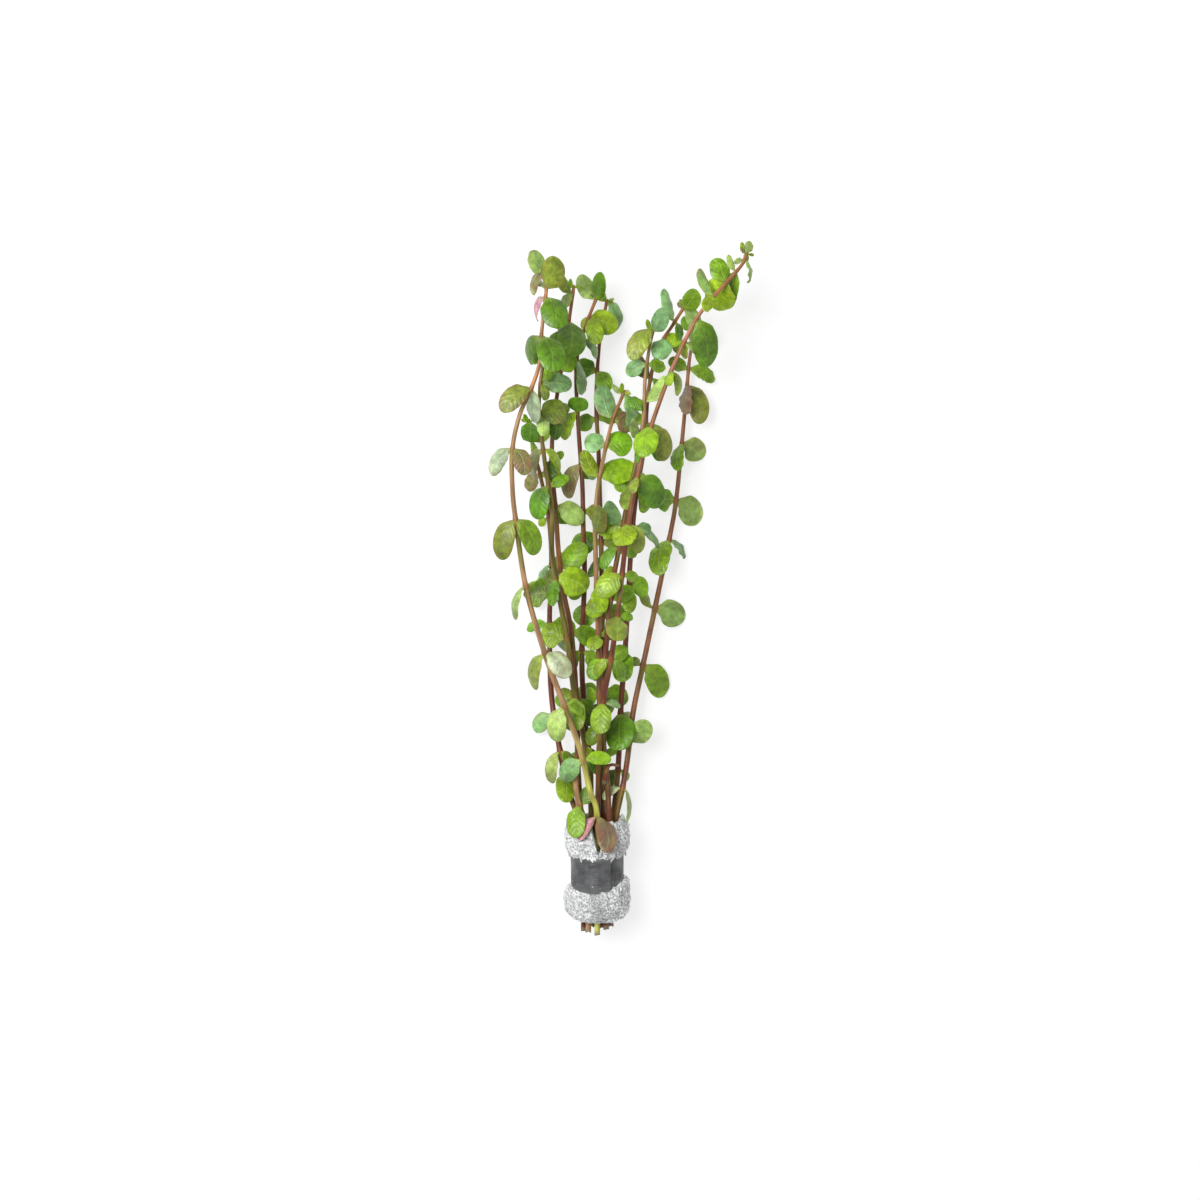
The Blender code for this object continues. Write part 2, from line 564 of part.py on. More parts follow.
def first_leaf(shoot, line, y, spec):
    """A leaf as the table gives it, with its stem's place and direction at the pair."""
    heading, length, seen, tone, *lift = spec
    centre, along = at_height(line, y)
    return {
        "centre": centre, "stem": along, "heading": heading, "seen": seen, "full": length, "tone": tone,
        "lift": sum(lift), "radius": stem_radius(shoot, y) * NODE_SWELL,
    }


def shaped(leaf, change):
    """The leaf after a change: its base is on the side of the stem that it heads to, its outer edge turned down."""
    swing, lift, turn, size = change
    heading = leaf["heading"] + swing
    width = max(LEAST_WIDTH * leaf["full"], SEEN_SLACK * leaf["seen"])
    h = math.radians(heading)
    outward = 1 if math.sin(h) >= 0 else -1
    in_line = float(towards(heading, 0) @ leaf["stem"]) ** 2
    over = in_line**COVER_POWER
    aim = towards(heading, LIFT_ACROSS + LIFT_OVER * over + leaf["lift"] + lift)
    away = aim + np.array([SIDE_BASE * outward * (in_line - over), 0.0, FRONT_BASE * over])
    away = unit(away - (away @ leaf["stem"]) * leaf["stem"])
    base = leaf["centre"] + away * (leaf["radius"] + LEAF_GAP)
    chord = leaf["centre"] + aim * leaf["full"] * size - base
    turn += math.degrees(math.acos(leaf["seen"] / width))
    axes = leaf_axes(unit(chord), turn * outward)
    hang = np.clip(ARCH_TURN * math.cos(h) - 1, -1, 1) * np.clip(ARCH_ONSET * math.sin(h), -1, 1)
    flat = unit(np.array([axes[0][1], -axes[0][0], 0.0]))
    return {
        **leaf, "axes": axes, "away": away, "base": base, "length": float(np.linalg.norm(chord)),
        "width": width * size, "flat": flat, "bend": LEAF_ARCH * hang,
    }


def box_of(points):
    return points.min(axis=0), points.max(axis=0)


def apart(a, b):
    return bool((a[0] > b[1]).any() or (b[0] > a[1]).any())


def place_leaves(lines):
    """Every leaf in its final place, the highest first: the first change that keeps it clear of all that is placed."""
    fixed = []
    for name, line in lines.items():
        points, faces = tube_mesh(line, lambda y, s=SHOOTS[name]: stem_radius(s, y) * NODE_SWELL)
        fixed.append((box_of(points), tree_of(points, faces)))
    points, faces = turned_mesh(SLEEVE_OUTER + SLEEVE_BORE, TEST_STEPS)
    fixed.append((box_of(points), tree_of(points, faces)))
    waiting = []
    for name, shoot in SHOOTS.items():
        for pair, (y, *specs) in enumerate(shoot["pairs"]):
            for side, spec in enumerate(specs):
                leaf = first_leaf(shoot, lines[name], y, spec)
                waiting.append({**leaf, "shoot": name, "name": f"leaf_{name}_{pair + 1:02d}_{'ab'[side]}"})
    waiting.sort(key=lambda leaf: -leaf["centre"][2] - leaf["full"] * leaf["seen"] * AREA_PRIORITY)
    placed, left_out = [], []
    for leaf in waiting:
        for change in CHANGES:
            trial = shaped(leaf, change)
            if too_low(trial):
                continue
            points, faces = layers(trial, LEAF_THICK / 2 + LEAF_GAP)
            box = box_of(points)
            near = [tree for other, tree in fixed if not apart(box, other)]
            tree = tree_of(points, faces)
            if not any(tree.overlap(other) for other in near):
                break
        else:
            left_out.append(leaf["name"])
            continue
        points, faces = layers(trial, LEAF_THICK / 2)
        fixed.append((box_of(points), tree_of(points, faces)))
        placed.append({**trial, "change": change})
    return placed, left_out


# Solids


def turned_mesh(profile, steps):
    """Points and faces of a closed (y, radius) profile turned about the sleeve's axis."""
    p = np.array(profile)
    angle = np.arange(steps) * math.tau / steps
    x = p[None, :, 1] * np.cos(angle)[:, None]
    z = SLEEVE_AXIS_Z + p[None, :, 1] * np.sin(angle)[:, None]
    points = np.stack([x, np.broadcast_to(p[None, :, 0], x.shape), z], axis=-1).reshape(-1, 3)
    n = len(p)
    faces = [
        (k * n + i, k * n + (i + 1) % n, (k + 1) % steps * n + (i + 1) % n, (k + 1) % steps * n + i)
        for k in range(steps)
        for i in range(n)
    ]
    return points, faces


def build_sleeve(parts, cutters):
    """The foam sleeve: its profile turned about Z, laid along +Y, with what is under the surface cut off flat."""
    outline = SLEEVE_OUTER[::-1] + SLEEVE_BORE[::-1]
    data = bpy.data.meshes.new("foam_sleeve")
    points = [(radius * MM, 0.0, y * MM) for y, radius in outline]
    data.from_pydata(points, [(i, (i + 1) % len(points)) for i in range(len(points))], [])
    sleeve = add_object("foam_sleeve", data, parts, material("foam", FOAM_COLOUR, 0.7))
    turn = sleeve.modifiers.new("Turn", "SCREW")
    turn.steps = turn.render_steps = SLEEVE_STEPS
    turn.use_merge_vertices = True
    turn.merge_threshold = 1e-5
    sleeve.rotation_euler = (-math.pi / 2, 0, 0)
    sleeve.location = (0, 0, SLEEVE_AXIS_Z * MM)
    bpy.ops.mesh.primitive_cube_add(size=BLOCK_SIZE * MM, location=(0, 0, -BLOCK_SIZE / 2 * MM))
    block = bpy.context.object
    block.name = "cut_under_surface"
    for home in list(block.users_collection):
        home.objects.unlink(block)
    cutters.objects.link(block)
    block.hide_render = True
    block.display_type = "WIRE"
    flat = sleeve.modifiers.new("Rest flat", "BOOLEAN")
    flat.operation = "DIFFERENCE"
    flat.object = block
    corners = [(x, y, SLEEVE_AXIS_Z) for x, y in NOTCH] + [(x, y, NOTCH_TOP_Z) for x, y in NOTCH]
    sides = [(i, (i + 1) % 4, 4 + (i + 1) % 4, 4 + i) for i in range(4)]
    wedge = add_mesh("cut_front_gap", corners, [(3, 2, 1, 0), (4, 5, 6, 7), *sides], cutters)
    wedge.hide_render = True
    wedge.display_type = "WIRE"
    gap = sleeve.modifiers.new("Front gap", "BOOLEAN")
    gap.operation = "DIFFERENCE"
    gap.object = wedge


def build_strip(parts):
    """The soft metal strip: a sheet wound round the sleeve's waist, its outer end lapping over its start."""
    turns = np.linspace(0, 360 + STRIP_LAP, STRIP_STEPS)
    climb = STRIP_THICK + LEAF_GAP
    over = np.clip((turns - (360 - STRIP_LAP * LAP_RISE)) / (STRIP_LAP * LAP_RISE), 0, 1)
    radius = STRIP_RADIUS + climb * over * over * (3 - 2 * over)
    angle = np.radians(STRIP_END + (360 + STRIP_LAP) - turns)
    ring = np.column_stack([radius * np.cos(angle), radius * np.sin(angle)])
    width = STRIP_WIDTH + STRIP_DIP * np.maximum(np.sin(angle), 0) - STRIP_SKEW * np.cos(angle)
    low = [(x, STRIP_TOP_Y - w, SLEEVE_AXIS_Z + z) for (x, z), w in zip(ring, width)]
    high = [(x, STRIP_TOP_Y, SLEEVE_AXIS_Z + z) for x, z in ring]
    n = len(ring)
    faces = [(i, i + 1, n + i + 1, n + i) for i in range(n - 1)]
    strip = add_mesh("weight_strip", low + high, faces, parts, material("strip", STRIP_COLOUR, 0.55, 0.6))
    wall = strip.modifiers.new("Wall", "SOLIDIFY")
    wall.thickness = STRIP_THICK * MM
    wall.offset = 0


def build_stem(name, line, parts):
    """A stem: a round wire along its line, thicker at each pair of leaves, made a mesh with its caps welded."""
    shoot = SHOOTS[name]
    pairs = [pair[0] for pair in shoot["pairs"]]
    stops = [shoot["cut"], *SLEEVE_STOPS, *pairs, shoot["route"][-1][1]]
    stops = sorted({round(y, 2) for y in stops if y <= shoot["route"][-1][1]})
    middles = [(a + b) / 2 for a, b in zip(stops, stops[1:]) if b - a > LONGEST_SPAN]
    places = sorted(stops + middles)
    data = bpy.data.curves.new(f"stem_{name}", "CURVE")
    data.dimensions = "3D"
    data.bevel_depth = STEM_RADIUS * MM
    data.bevel_resolution = STEM_SIDES_RESOLUTION
    data.use_fill_caps = True
    spline = data.splines.new("POLY")
    spline.points.add(len(places) - 1)
    for point, y in zip(spline.points, places):
        centre, _ = at_height(line, y)
        swell = NODE_SWELL if any(abs(y - pair) < SAME_PLACE for pair in pairs) else 1.0
        point.co = (*(centre * MM), 1.0)
        point.radius = stem_radius(shoot, y) * swell / STEM_RADIUS
    curve = add_object(f"curve_{name}", data, parts)
    graph = bpy.context.evaluated_depsgraph_get()
    mesh = bpy.data.meshes.new_from_object(curve.evaluated_get(graph))
    work = bmesh.new()
    work.from_mesh(mesh)
    bmesh.ops.remove_doubles(work, verts=work.verts, dist=1e-6)
    bmesh.ops.recalc_face_normals(work, faces=work.faces)
    work.to_mesh(mesh)
    work.free()
    mesh.name = f"stem_{name}"
    stem = add_object(f"stem_{name}", mesh, parts, material("stem", STEM_COLOUR, 0.45))
    stem.matrix_world = curve.matrix_world
    bpy.data.objects.remove(curve, do_unlink=True)
    return stem


def add_thickness(leaf_object):
    wall = leaf_object.modifiers.new("Blade", "SOLIDIFY")
    wall.thickness = LEAF_THICK * MM
    wall.offset = 0
    wall.use_even_offset = False


def build_single_leaf(leaf, parts):
    points, faces = leaf_sheet(leaf, SINGLE_ROWS)
    surface = material(f"leaf_{leaf['tone']}", TONES[leaf["tone"]], 0.4)
    add_thickness(add_mesh(leaf["name"], points, faces, parts, surface))


def join_leaves(stem, leaves, cutters):
    """The stem's other leaves, joined to it: each blade's base runs on into the stem."""
    work = bmesh.new()
    for leaf in leaves:
        points, faces = plain_sheet(leaf)
        points[0] = leaf["centre"] + leaf["away"] * leaf["radius"] * ROOT_DEPTH
        verts = [work.verts.new(p * MM) for p in points]
        for face in faces:
            work.faces.new([verts[i] for i in face])
    data = bpy.data.meshes.new(f"leaves_of_{stem.name}")
    work.to_mesh(data)
    work.free()
    blades = add_object(data.name, data, cutters)
    add_thickness(blades)
    blades.hide_render = True
    blades.display_type = "WIRE"
    union = stem.modifiers.new("Leaves", "BOOLEAN")
    union.operation = "UNION"
    union.use_self = True
    union.object = blades


def main():
    clear_scene()
    parts = new_collection("rotala_bunch")
    cutters = new_collection("helpers")
    lines = {name: stem_line(shoot) for name, shoot in SHOOTS.items()}
    placed, left_out = place_leaves(lines)
    build_sleeve(parts, cutters)
    build_strip(parts)
    by_area = sorted(placed, key=lambda leaf: -leaf["length"] * leaf["width"])
    joined = by_area[SINGLE_LEAVES : SINGLE_LEAVES + JOINED_LEAVES]
    for leaf in by_area[:SINGLE_LEAVES]:
        build_single_leaf(leaf, parts)
    for name, line in lines.items():
        stem = build_stem(name, line, parts)
        own = [leaf for leaf in joined if leaf["shoot"] == name]
        if own:
            join_leaves(stem, own, cutters)
    moved = [mildness(leaf["change"]) for leaf in placed]
    print(f"{len(placed)} leaves placed, {len(left_out)} left out: {left_out}")
    print(f"{sum(m > 0 for m in moved)} leaves moved to stay clear, {sum(m > 4 for m in moved)} by much")


main()
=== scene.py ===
# %% [markdown]
# # A bunch of rotala
#
# Rotala is a water plant: thin stems with round leaves in opposite pairs. A shop sells it as a bunch, a dozen
# cuttings held in a roll of foam with a strip of soft metal wound round it. This notebook makes such a bunch as it
# lies on a table: +Y runs from the cut ends to the tips, +Z is up, and lengths are written in millimetres.
#
# A packed engineering model of the same bunch is loaded first and is never moved. Each finer surface made here
# takes the place of one of its parts, so the two agree wherever one looks from.

import math
from itertools import product

import bpy
import numpy as np
from mathutils import Matrix, Vector
from mathutils.bvhtree import BVHTree


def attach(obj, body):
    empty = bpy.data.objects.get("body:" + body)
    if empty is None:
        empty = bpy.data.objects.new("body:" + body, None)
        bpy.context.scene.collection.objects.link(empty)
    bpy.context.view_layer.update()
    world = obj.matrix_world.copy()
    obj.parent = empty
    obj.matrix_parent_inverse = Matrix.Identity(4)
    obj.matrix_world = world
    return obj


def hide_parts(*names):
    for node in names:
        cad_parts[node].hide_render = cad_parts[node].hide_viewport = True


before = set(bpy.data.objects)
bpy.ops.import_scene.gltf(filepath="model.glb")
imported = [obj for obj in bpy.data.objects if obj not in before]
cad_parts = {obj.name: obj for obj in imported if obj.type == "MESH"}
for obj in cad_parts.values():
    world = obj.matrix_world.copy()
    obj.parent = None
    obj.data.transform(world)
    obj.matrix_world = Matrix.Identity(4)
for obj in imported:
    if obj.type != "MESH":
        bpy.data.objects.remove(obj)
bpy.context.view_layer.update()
MM = 0.001

# %% [markdown]
# ## The camera
#
# The picture to match was taken from above, a little towards the tips, on a square frame. One pixel of it is
# 0.36 mm at the plant, read from the 12 mm strip and the 10 to 15 mm leaves, so at 90 cm the lens has to take in
# 432 mm. The camera's axes are worked out, because Blender's own tracking turns a camera that looks almost
# straight down the wrong way round.

# %% Place the camera
PICTURE_SIDE = 1200
MM_A_PIXEL = 0.36
SENSOR = 36.0
EYE = Vector((1.0, 218.3, 908.0)) * MM
TARGET = Vector((1.0, 108.8, 15.0)) * MM


def place_camera():
    """Columns of the turn are right = look x Y, up = right x look, and back = -look, each of length one."""
    look = (TARGET - EYE).normalized()
    right = look.cross(Vector((0, 1, 0))).normalized()
    up = right.cross(look)
    data = bpy.data.cameras.new("camera")
    data.sensor_width = SENSOR
    data.lens = SENSOR * (TARGET - EYE).length / (PICTURE_SIDE * MM_A_PIXEL * MM)
    camera = bpy.data.objects.new("camera", data)
    camera.matrix_world = Matrix.Translation(EYE) @ Matrix((right, up, -look)).transposed().to_4x4()
    bpy.context.scene.collection.objects.link(camera)
    bpy.context.scene.camera = camera
    return data.lens


print(f"lens {place_camera():.1f} mm")

# %% [markdown]
# ## Small tools for surfaces
#
# Everything that grows is a surface over two parameters, worked out as whole arrays. A leaf and a stem are both
# tubes: rows of points, each row a closed ring, shut by one point at either end. One list of faces therefore
# serves all of them. The faces could be made by lofting curves, but then the places along and across a leaf, which
# its veins need, would be lost; here they are stored on the points as attributes.

# %% Tubes and meshes


def tube_faces(rows, around):
    """Faces of rows of rings: a square joins points i, i+1 of a ring to those of the next; the two points that are
    stored last close the first and last ring with fans of triangles."""
    start = np.arange(rows - 1)[:, None] * around
    here = np.arange(around)
    after = (here + 1) % around
    squares = np.stack([start + here, start + around + here, start + around + after, start + after], axis=-1)
    first, last = np.full(around, rows * around), np.full(around, rows * around + 1)
    top = (rows - 1) * around
    fans = np.vstack([np.column_stack([first, here, after]), np.column_stack([last, top + after, top + here])])
    return squares.reshape(-1, 4), fans


def repeated(faces, copies, points_each):
    """The same faces for many shapes stored one after another: copy k counts from k times the points of one."""
    return (faces[None] + np.arange(copies)[:, None, None] * points_each).reshape(-1, faces.shape[1])


def add_surface(name, points, faces, finish, **attributes):
    """A smooth mesh object at the origin from points in mm, with a value or a colour per point for each attribute."""
    mesh = bpy.data.meshes.new(name)
    mesh.from_pydata((points * MM).tolist(), [], [face for part in faces for face in part.tolist()])
    mesh.shade_smooth()
    for key, values in attributes.items():
        colour = values.ndim == 2
        layer = mesh.attributes.new(key, "FLOAT_COLOR" if colour else "FLOAT", "POINT")
        if colour:
            values = np.column_stack([values, np.ones(len(values))])
        layer.data.foreach_set("color" if colour else "value", values.astype(np.float32).ravel())
    mesh.materials.append(finish)
    piece = bpy.data.objects.new(name, mesh)
    bpy.context.scene.collection.objects.link(piece)
    return piece


def settle(piece, slot, *nodes):
    """Makes a finished piece part of the bunch: it rides on the one body and stands for frame parts. `slot` is not
    used.
    """
    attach(piece, "root")
    if nodes:
        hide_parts(*nodes)
    return piece


# %% [markdown]
# Natural surfaces need lumps that look random but come out the same on every run. Blender's noise textures can't
# be read from a script as arrays, so two kinds are made here. `lumps` blends fixed random heights between the
# corners of a lattice. `pores` measures how far the nearest of many scattered points is, which gives round cells.

# %% Noise as arrays


def scattered(cell, seed):
    """A fixed number from 0 to 1 for a whole-number cell, from its coordinates multiplied by large primes."""
    cell = cell.astype(np.int64)
    mixed = cell[..., 0] * 374761393 + cell[..., 1] * 668265263 + cell[..., 2] * 2147483647 + seed * 1274126177
    mixed = (mixed ^ (mixed >> 13)) * 1274126177
    return ((mixed ^ (mixed >> 16)) & 0xFFFFFF) / 0xFFFFFF


def lumps(points, size, seed=0):
    """Smooth noise from -1 to 1: heights at the eight corners of a cell, weighted by f*f*(3 - 2f) along each axis."""
    scaled = points / size
    cell = np.floor(scaled)
    f = scaled - cell
    f = f * f * (3 - 2 * f)
    total = np.zeros(points.shape[:-1])
    for corner in product((0, 1), repeat=3):
        total += np.prod(np.where(np.array(corner, bool), f, 1 - f), axis=-1) * scattered(cell + corner, seed)
    return 2 * total - 1


def pores(points, size, seed=0):
    """Distance to the nearest scattered point in units of the cell size: the least over the 27 cells around."""
    scaled = points / size
    cell = np.floor(scaled)
    nearest = np.full(points.shape[:-1], 9.0)
    for step in product((-1, 0, 1), repeat=3):
        near = cell + step
        spot = near + np.stack([scattered(near, seed + k) for k in range(3)], axis=-1)
        nearest = np.minimum(nearest, np.linalg.norm(scaled - spot, axis=-1))
    return nearest


def ramp(x, low, high):
    """0 below low, 1 above high, and an S-curve between."""
    f = np.clip((x - low) / (high - low), 0, 1)
    return f * f * (3 - 2 * f)


print("noise sample:", lumps(np.array([[1.0, 2.5, 3.2]]), 2.0).round(3), pores(np.array([[1.0, 2.5, 3.2]]), 1.0).round(3))

# %% [markdown]
# ## The bunch as a table
#
# Each stem has a slot in the packed foam, the height of its cut end, a route of points (x, y, z) up to its tip,
# and its pairs of leaves as (y of the pair, leaf, leaf). A leaf is (heading, length, width that shows from above,
# tone), some with degrees that they are lifted by: heading 0 points to the tips and 90 to the right.

# %% Stems and leaves
SLEEVE_AXIS_Z = 11.2
INNER_RING, OUTER_RING = 1.42, 3.95
SHOOTS = {
    "front_left": {
        "slot": (OUTER_RING, 90),
        "cut": -14.2,
        "route": [
            (-0.5, 34.3, 20.4), (-2.6, 40.3, 22.2), (-4.9, 51.3, 24), (-7.7, 60.8, 26), (-11.2, 70.8, 27.5),
            (-18.5, 91.3, 30),
            (-25, 114.8, 32.5), (-28.6, 139.3, 34), (-29.7, 151.3, 34.8), (-29.6, 164.3, 35.3),
            (-27, 176.3, 35.8),
            (-23, 185.3, 36), (-20, 194.3, 36), (-19.4, 203.3, 36), (-18.6, 211.3, 35.5), (-17.6, 220.3, 35),
            (-18.2, 226.3, 34.5),
        ],
        "pairs": [
            (30.3, (208, 14.5, 3.6, "pink", 12), (157, 15.6, 6.6, "plum", 12)),
            (51.8, (222, 11.5, 7, "blue"), (88, 10.4, 4.7, "lime", 6)),
            (71.8, (195, 13, 7, "pale"), (120, 8, 3, "green")),
            (91.3, (196, 14.8, 4.6, "olive"), (136, 11.8, 7.5, "white")),
            (115.8, (203, 13, 2.6, "pale"), (157, 13, 9, "green", -26)),
            (139.3, (194, 14.8, 7.5, "olive"), (148, 14.4, 8, "green")),
            (164.3, (220, 12, 5.4, "white"), (152, 10.4, 6.4, "red")),
            (185.3, (232, 13, 7.4, "olive"), (188, 15, 5.6, "white", 4)),
            (203.3, (160, 14.5, 9.4, "dark"), (198, 14, 4.8, "dark")),
            (216.8, (165, 12.4, 9.2, "dark"), (204, 11.7, 2.6, "pink", -10)),
            (220.3, (13, 12.8, 8.4, "olive"), (338, 7.4, 3, "green", -14)),
            (225.8, (338, 8.4, 6.5, "pale"), (212, 10, 3.4, "red", -8)),
        ],
    },
    "mid_left": {
        "slot": (INNER_RING, 210),
        "cut": -12.5,
        "route": [
            (-3, 43.3, 11.5), (-5, 58.3, 13), (-8, 72.8, 15), (-11, 95.3, 17.5), (-15, 118.3, 19.5),
            (-16.2, 128.3, 20.5),
            (-16, 141.3, 21.5), (-17.3, 150.3, 22), (-19, 162.3, 22.6), (-20.4, 175.3, 23.2),
            (-20, 187.3, 23.8),
            (-17.6, 201.3, 24),
        ],
        "pairs": [
            # the first leaf here has the dark tone as painted shade: it lies in shadow
            (52.3, (150, 11, 7.5, "dark"), (20, 7.5, 2.2, "lime", 30)),
            (73.3, (184, 13.5, 8.5, "green", 8), (285, 6.5, 5, "olive")),
            (95.3, (275, 9.6, 9, "lime"), (197, 13, 5, "dark", -14)),
            (116.8, (110, 12, 10.6, "lime", 6), (188, 11, 4.5, "dark")),
            (150.3, (193, 12.5, 8, "dark", 8), (60, 8, 4, "green")),
            (163.3, (141, 12.5, 3, "lime"), (192, 13.5, 4.2, "red")),
            (175.3, (76, 10, 9, "olive"), (160, 9.2, 4.3, "pale")),
            (186.3, (92, 11.5, 6.8, "blue"), (160, 6.5, 3, "olive")),
            (194.3, (168, 7, 3, "green"), (300, 6, 4, "green")),
            (200.8, (70, 9, 6, "dark"), (250, 7, 5, "pale")),
        ],
    },
    "inner_left": {
        "slot": (OUTER_RING, 210),
        "cut": -11.5,
        "route": [
            (-7, 45.3, 8.5), (-7.6, 71.7, 10), (-9.4, 96.3, 12), (-12.5, 113.3, 13), (-14, 126.8, 13.6),
            (-15, 142.3, 14.4),
            (-16.2, 156.3, 15.2), (-15.8, 170.3, 15.8), (-14, 184.3, 16.4), (-11.5, 198.8, 17),
            (-9, 215.3, 17.5),
            (-8.2, 221.3, 17.8),
        ],
        "pairs": [
            (50.3, (215, 9, 6, "green"), (60, 9, 6, "green")),
            (71.7, (150, 11.5, 6.4, "green", 6), (255, 8, 6, "green")),
            (96.3, (112, 10.6, 7, "green"), (205, 8, 4, "green")),
            (120.3, (38, 12, 8.4, "green"), (190, 11, 6, "olive")),
            (142.3, (124, 11.4, 7.6, "pale"), (300, 8, 5, "green")),
            (159.3, (170, 8.5, 5, "dark"), (48, 5, 3, "lime")),
            (175.3, (173, 11, 4.2, "dark"), (35, 8, 5, "green")),
            (191.3, (30, 10, 6, "green"), (240, 9, 5, "green")),
            (208.3, (172, 16.8, 10, "dark", 8), (222, 5, 2.6, "red")),
            (218.3, (206, 7, 3.6, "pale"), (330, 9, 4, "olive")),
        ],
    },
    "centre": {
        "slot": (OUTER_RING, 250),
        "cut": -12,
        "route": [
            (-2.6, 47.3, 5.2), (-4.7, 65.3, 5.8), (-5.6, 87.3, 7), (-4.6, 116.3, 8.4), (-5, 133.3, 9.4),
            (-5.4, 151.3, 10.4),
            (-6.6, 168.3, 11.2), (-7.6, 190.3, 12.2), (-6.1, 200.3, 12.6), (-3.2, 209.3, 13), (0, 217.3, 13.4),
        ],
        "pairs": [
            (47.3, (152, 7.5, 5, "olive"), (290, 8, 5, "green")),
            (65.3, (240, 10, 7, "green"), (80, 9, 6, "green")),
            (89.3, (150, 13, 5.5, "green"), (200, 10, 4, "green")),
            (116.3, (15, 11, 4.6, "dark"), (200, 10, 6, "green")),
            (140.3, (110, 9, 6, "olive"), (250, 8, 4, "olive")),
            (157.3, (197, 13.4, 5.6, "red"), (140, 8, 4, "blue")),
            (176.3, (2, 7.5, 7, "dark"), (193, 11.4, 4.6, "lime")),
            (194.3, (165, 15, 2.8, "blue"), (260, 8, 6, "dark")),
            (202.3, (136, 9.6, 2.8, "blue"), (292, 8, 2.6, "pale")),
            (209.3, (108, 11.5, 8.4, "lime"), (165, 10, 6, "lime")),
            (216.3, (335, 10, 6.2, "pale"), (5, 11.6, 5, "dark")),
        ],
    },
    "underneath": {
        "slot": (OUTER_RING, 290),
        "cut": -10.8,
        "route": [
            (2.2, 45.3, 4), (2, 73.3, 3.4), (1.8, 101.3, 3.2), (1.5, 123.3, 3.2), (1, 143.3, 3.2),
            (0.4, 163.3, 3.3),
            (-0.4, 180.8, 3.6), (1, 202.3, 4.4), (3.6, 216.3, 5.4),
        ],
        "pairs": [
            (73.3, (120, 10, 8, "green"), (250, 10, 8, "green")),
            (101.3, (95, 11, 8, "green"), (265, 11, 8, "green")),
            (128.3, (100, 11, 8, "olive"), (260, 11, 8, "green")),
            (153.3, (80, 10, 7, "green"), (285, 8, 6, "green")),
            (173.3, (70, 10, 7, "green"), (240, 8, 6, "green")),
            (190.3, (160, 9, 6, "green"), (285, 9, 7, "dark")),
            (205.3, (50, 8, 6, "lime"), (300, 8, 6, "lime")),
            (215.3, (168, 11.3, 4.6, "blue"), (146, 11, 2.2, "pale")),
        ],
    },
    "middle": {
        "slot": (INNER_RING, 330),
        "cut": -13.3,
        "route": [
            (1.4, 51.3, 10.4), (0.7, 76.3, 10.8), (0.4, 95.8, 12), (-0.2, 112.3, 13.4), (-0.7, 134.3, 15.2),
            (0.1, 148.3, 16.4),
            (2.5, 161.3, 17.4), (5.4, 173.3, 18.2), (8.6, 181.3, 18.8), (9.8, 184.3, 19),
        ],
        "pairs": [
            (51.3, (70, 6, 3, "green"), (250, 8, 5, "green")),
            (73.3, (150, 8, 5, "green"), (240, 9, 6, "green")),
            (95.8, (100, 6, 4, "green"), (183, 8, 6.6, "lime", 8)),
            (113.3, (30, 9, 4, "lime"), (165, 11.5, 6, "lime")),
            (133.3, (5, 14.5, 5.6, "olive"), (82, 8, 7, "lime")),
            (153.3, (75, 13.6, 9, "lime"), (335, 10.6, 5.5, "lime")),
            (164.3, (283, 8.2, 7, "blue"), (84, 9.8, 9, "green")),
            (174.3, (352, 12.4, 7.4, "blue"), (122, 9.5, 7, "red")),
            (182.8, (176, 13, 4.6, "blue"), (320, 5, 2, "pale")),
        ],
    },
    "right_back": {
        "slot": (OUTER_RING, 50),
        "cut": -12.4,
        "route": [
            (3.6, 43.3, 15.8), (2.2, 58.3, 15.4), (2.5, 80.3, 15.6), (4, 101.3, 16.2), (5.8, 116.3, 16.8),
            (8.3, 130.3, 17.4),
            (10.8, 144.8, 18), (13.2, 155.8, 18.4), (15.4, 166.3, 18.7), (16.6, 177.3, 19), (17, 188.3, 19.2),
            (18.4, 198.8, 19.4), (20, 206.3, 19.6),
        ],
        "pairs": [
            (63.3, (200, 9, 5, "green"), (172, 10, 4.4, "green")),
            (87.3, (60, 9, 6, "green"), (215, 9, 6, "green")),
            (109.3, (230, 10, 7, "green"), (60, 9, 6, "green")),
            (127.8, (207, 10, 4, "dark"), (120, 7, 4, "green")),
            (136.3, (331, 11, 5.4, "blue"), (262, 8.6, 7, "lime")),
            (150.3, (196, 12, 4.4, "olive"), (40, 7, 4, "green")),
            (167.3, (342, 8.4, 3.4, "pale"), (190, 13, 2.6, "dark")),
            (180.3, (245, 5.5, 6, "dark"), (22, 11.5, 4.5, "pale")),
            (193.3, (241, 8, 5.6, "blue"), (104, 7, 4.6, "green")),
            (205.3, (212, 13.4, 7, "olive"), (18, 10, 6, "blue")),
        ],
    },
    "right_inner": {
        "slot": (OUTER_RING, 330),
        "cut": -11.2,
        "route": [
            (7.6, 45.3, 8), (8.6, 68.3, 9), (10.1, 89.3, 9.8), (11.2, 108.8, 10.6), (12.2, 126.8, 11.2),
            (14, 146.3, 12),
            (16.8, 163.3, 12.6), (18, 180.8, 13.2), (19.8, 191.8, 13.8), (23.4, 201.8, 14.4),
            (26.6, 206.8, 14.8),
            (31, 213.8, 15.2),
        ],
        "pairs": [
            (45.3, (203, 12, 6, "dark"), (150, 6, 3, "green")),
            (66.3, (189, 15.4, 10.4, "dark", 6), (172, 15.6, 4.6, "green", -10)),
            (89.3, (187, 13, 7.6, "green", 6), (176, 16, 3.6, "lime")),
            (111.8, (75, 7.5, 8, "green"), (177, 9, 5, "lime")),
            (134.8, (103, 7, 4.6, "blue"), (123, 13, 2.6, "blue")),
            (151.3, (250, 9, 6, "green"), (170, 12, 4, "green")),
            (172.3, (172, 14.6, 7, "dark"), (300, 9, 5, "green")),
            (188.3, (335, 9, 5, "plum"), (165, 9, 3.4, "dark")),
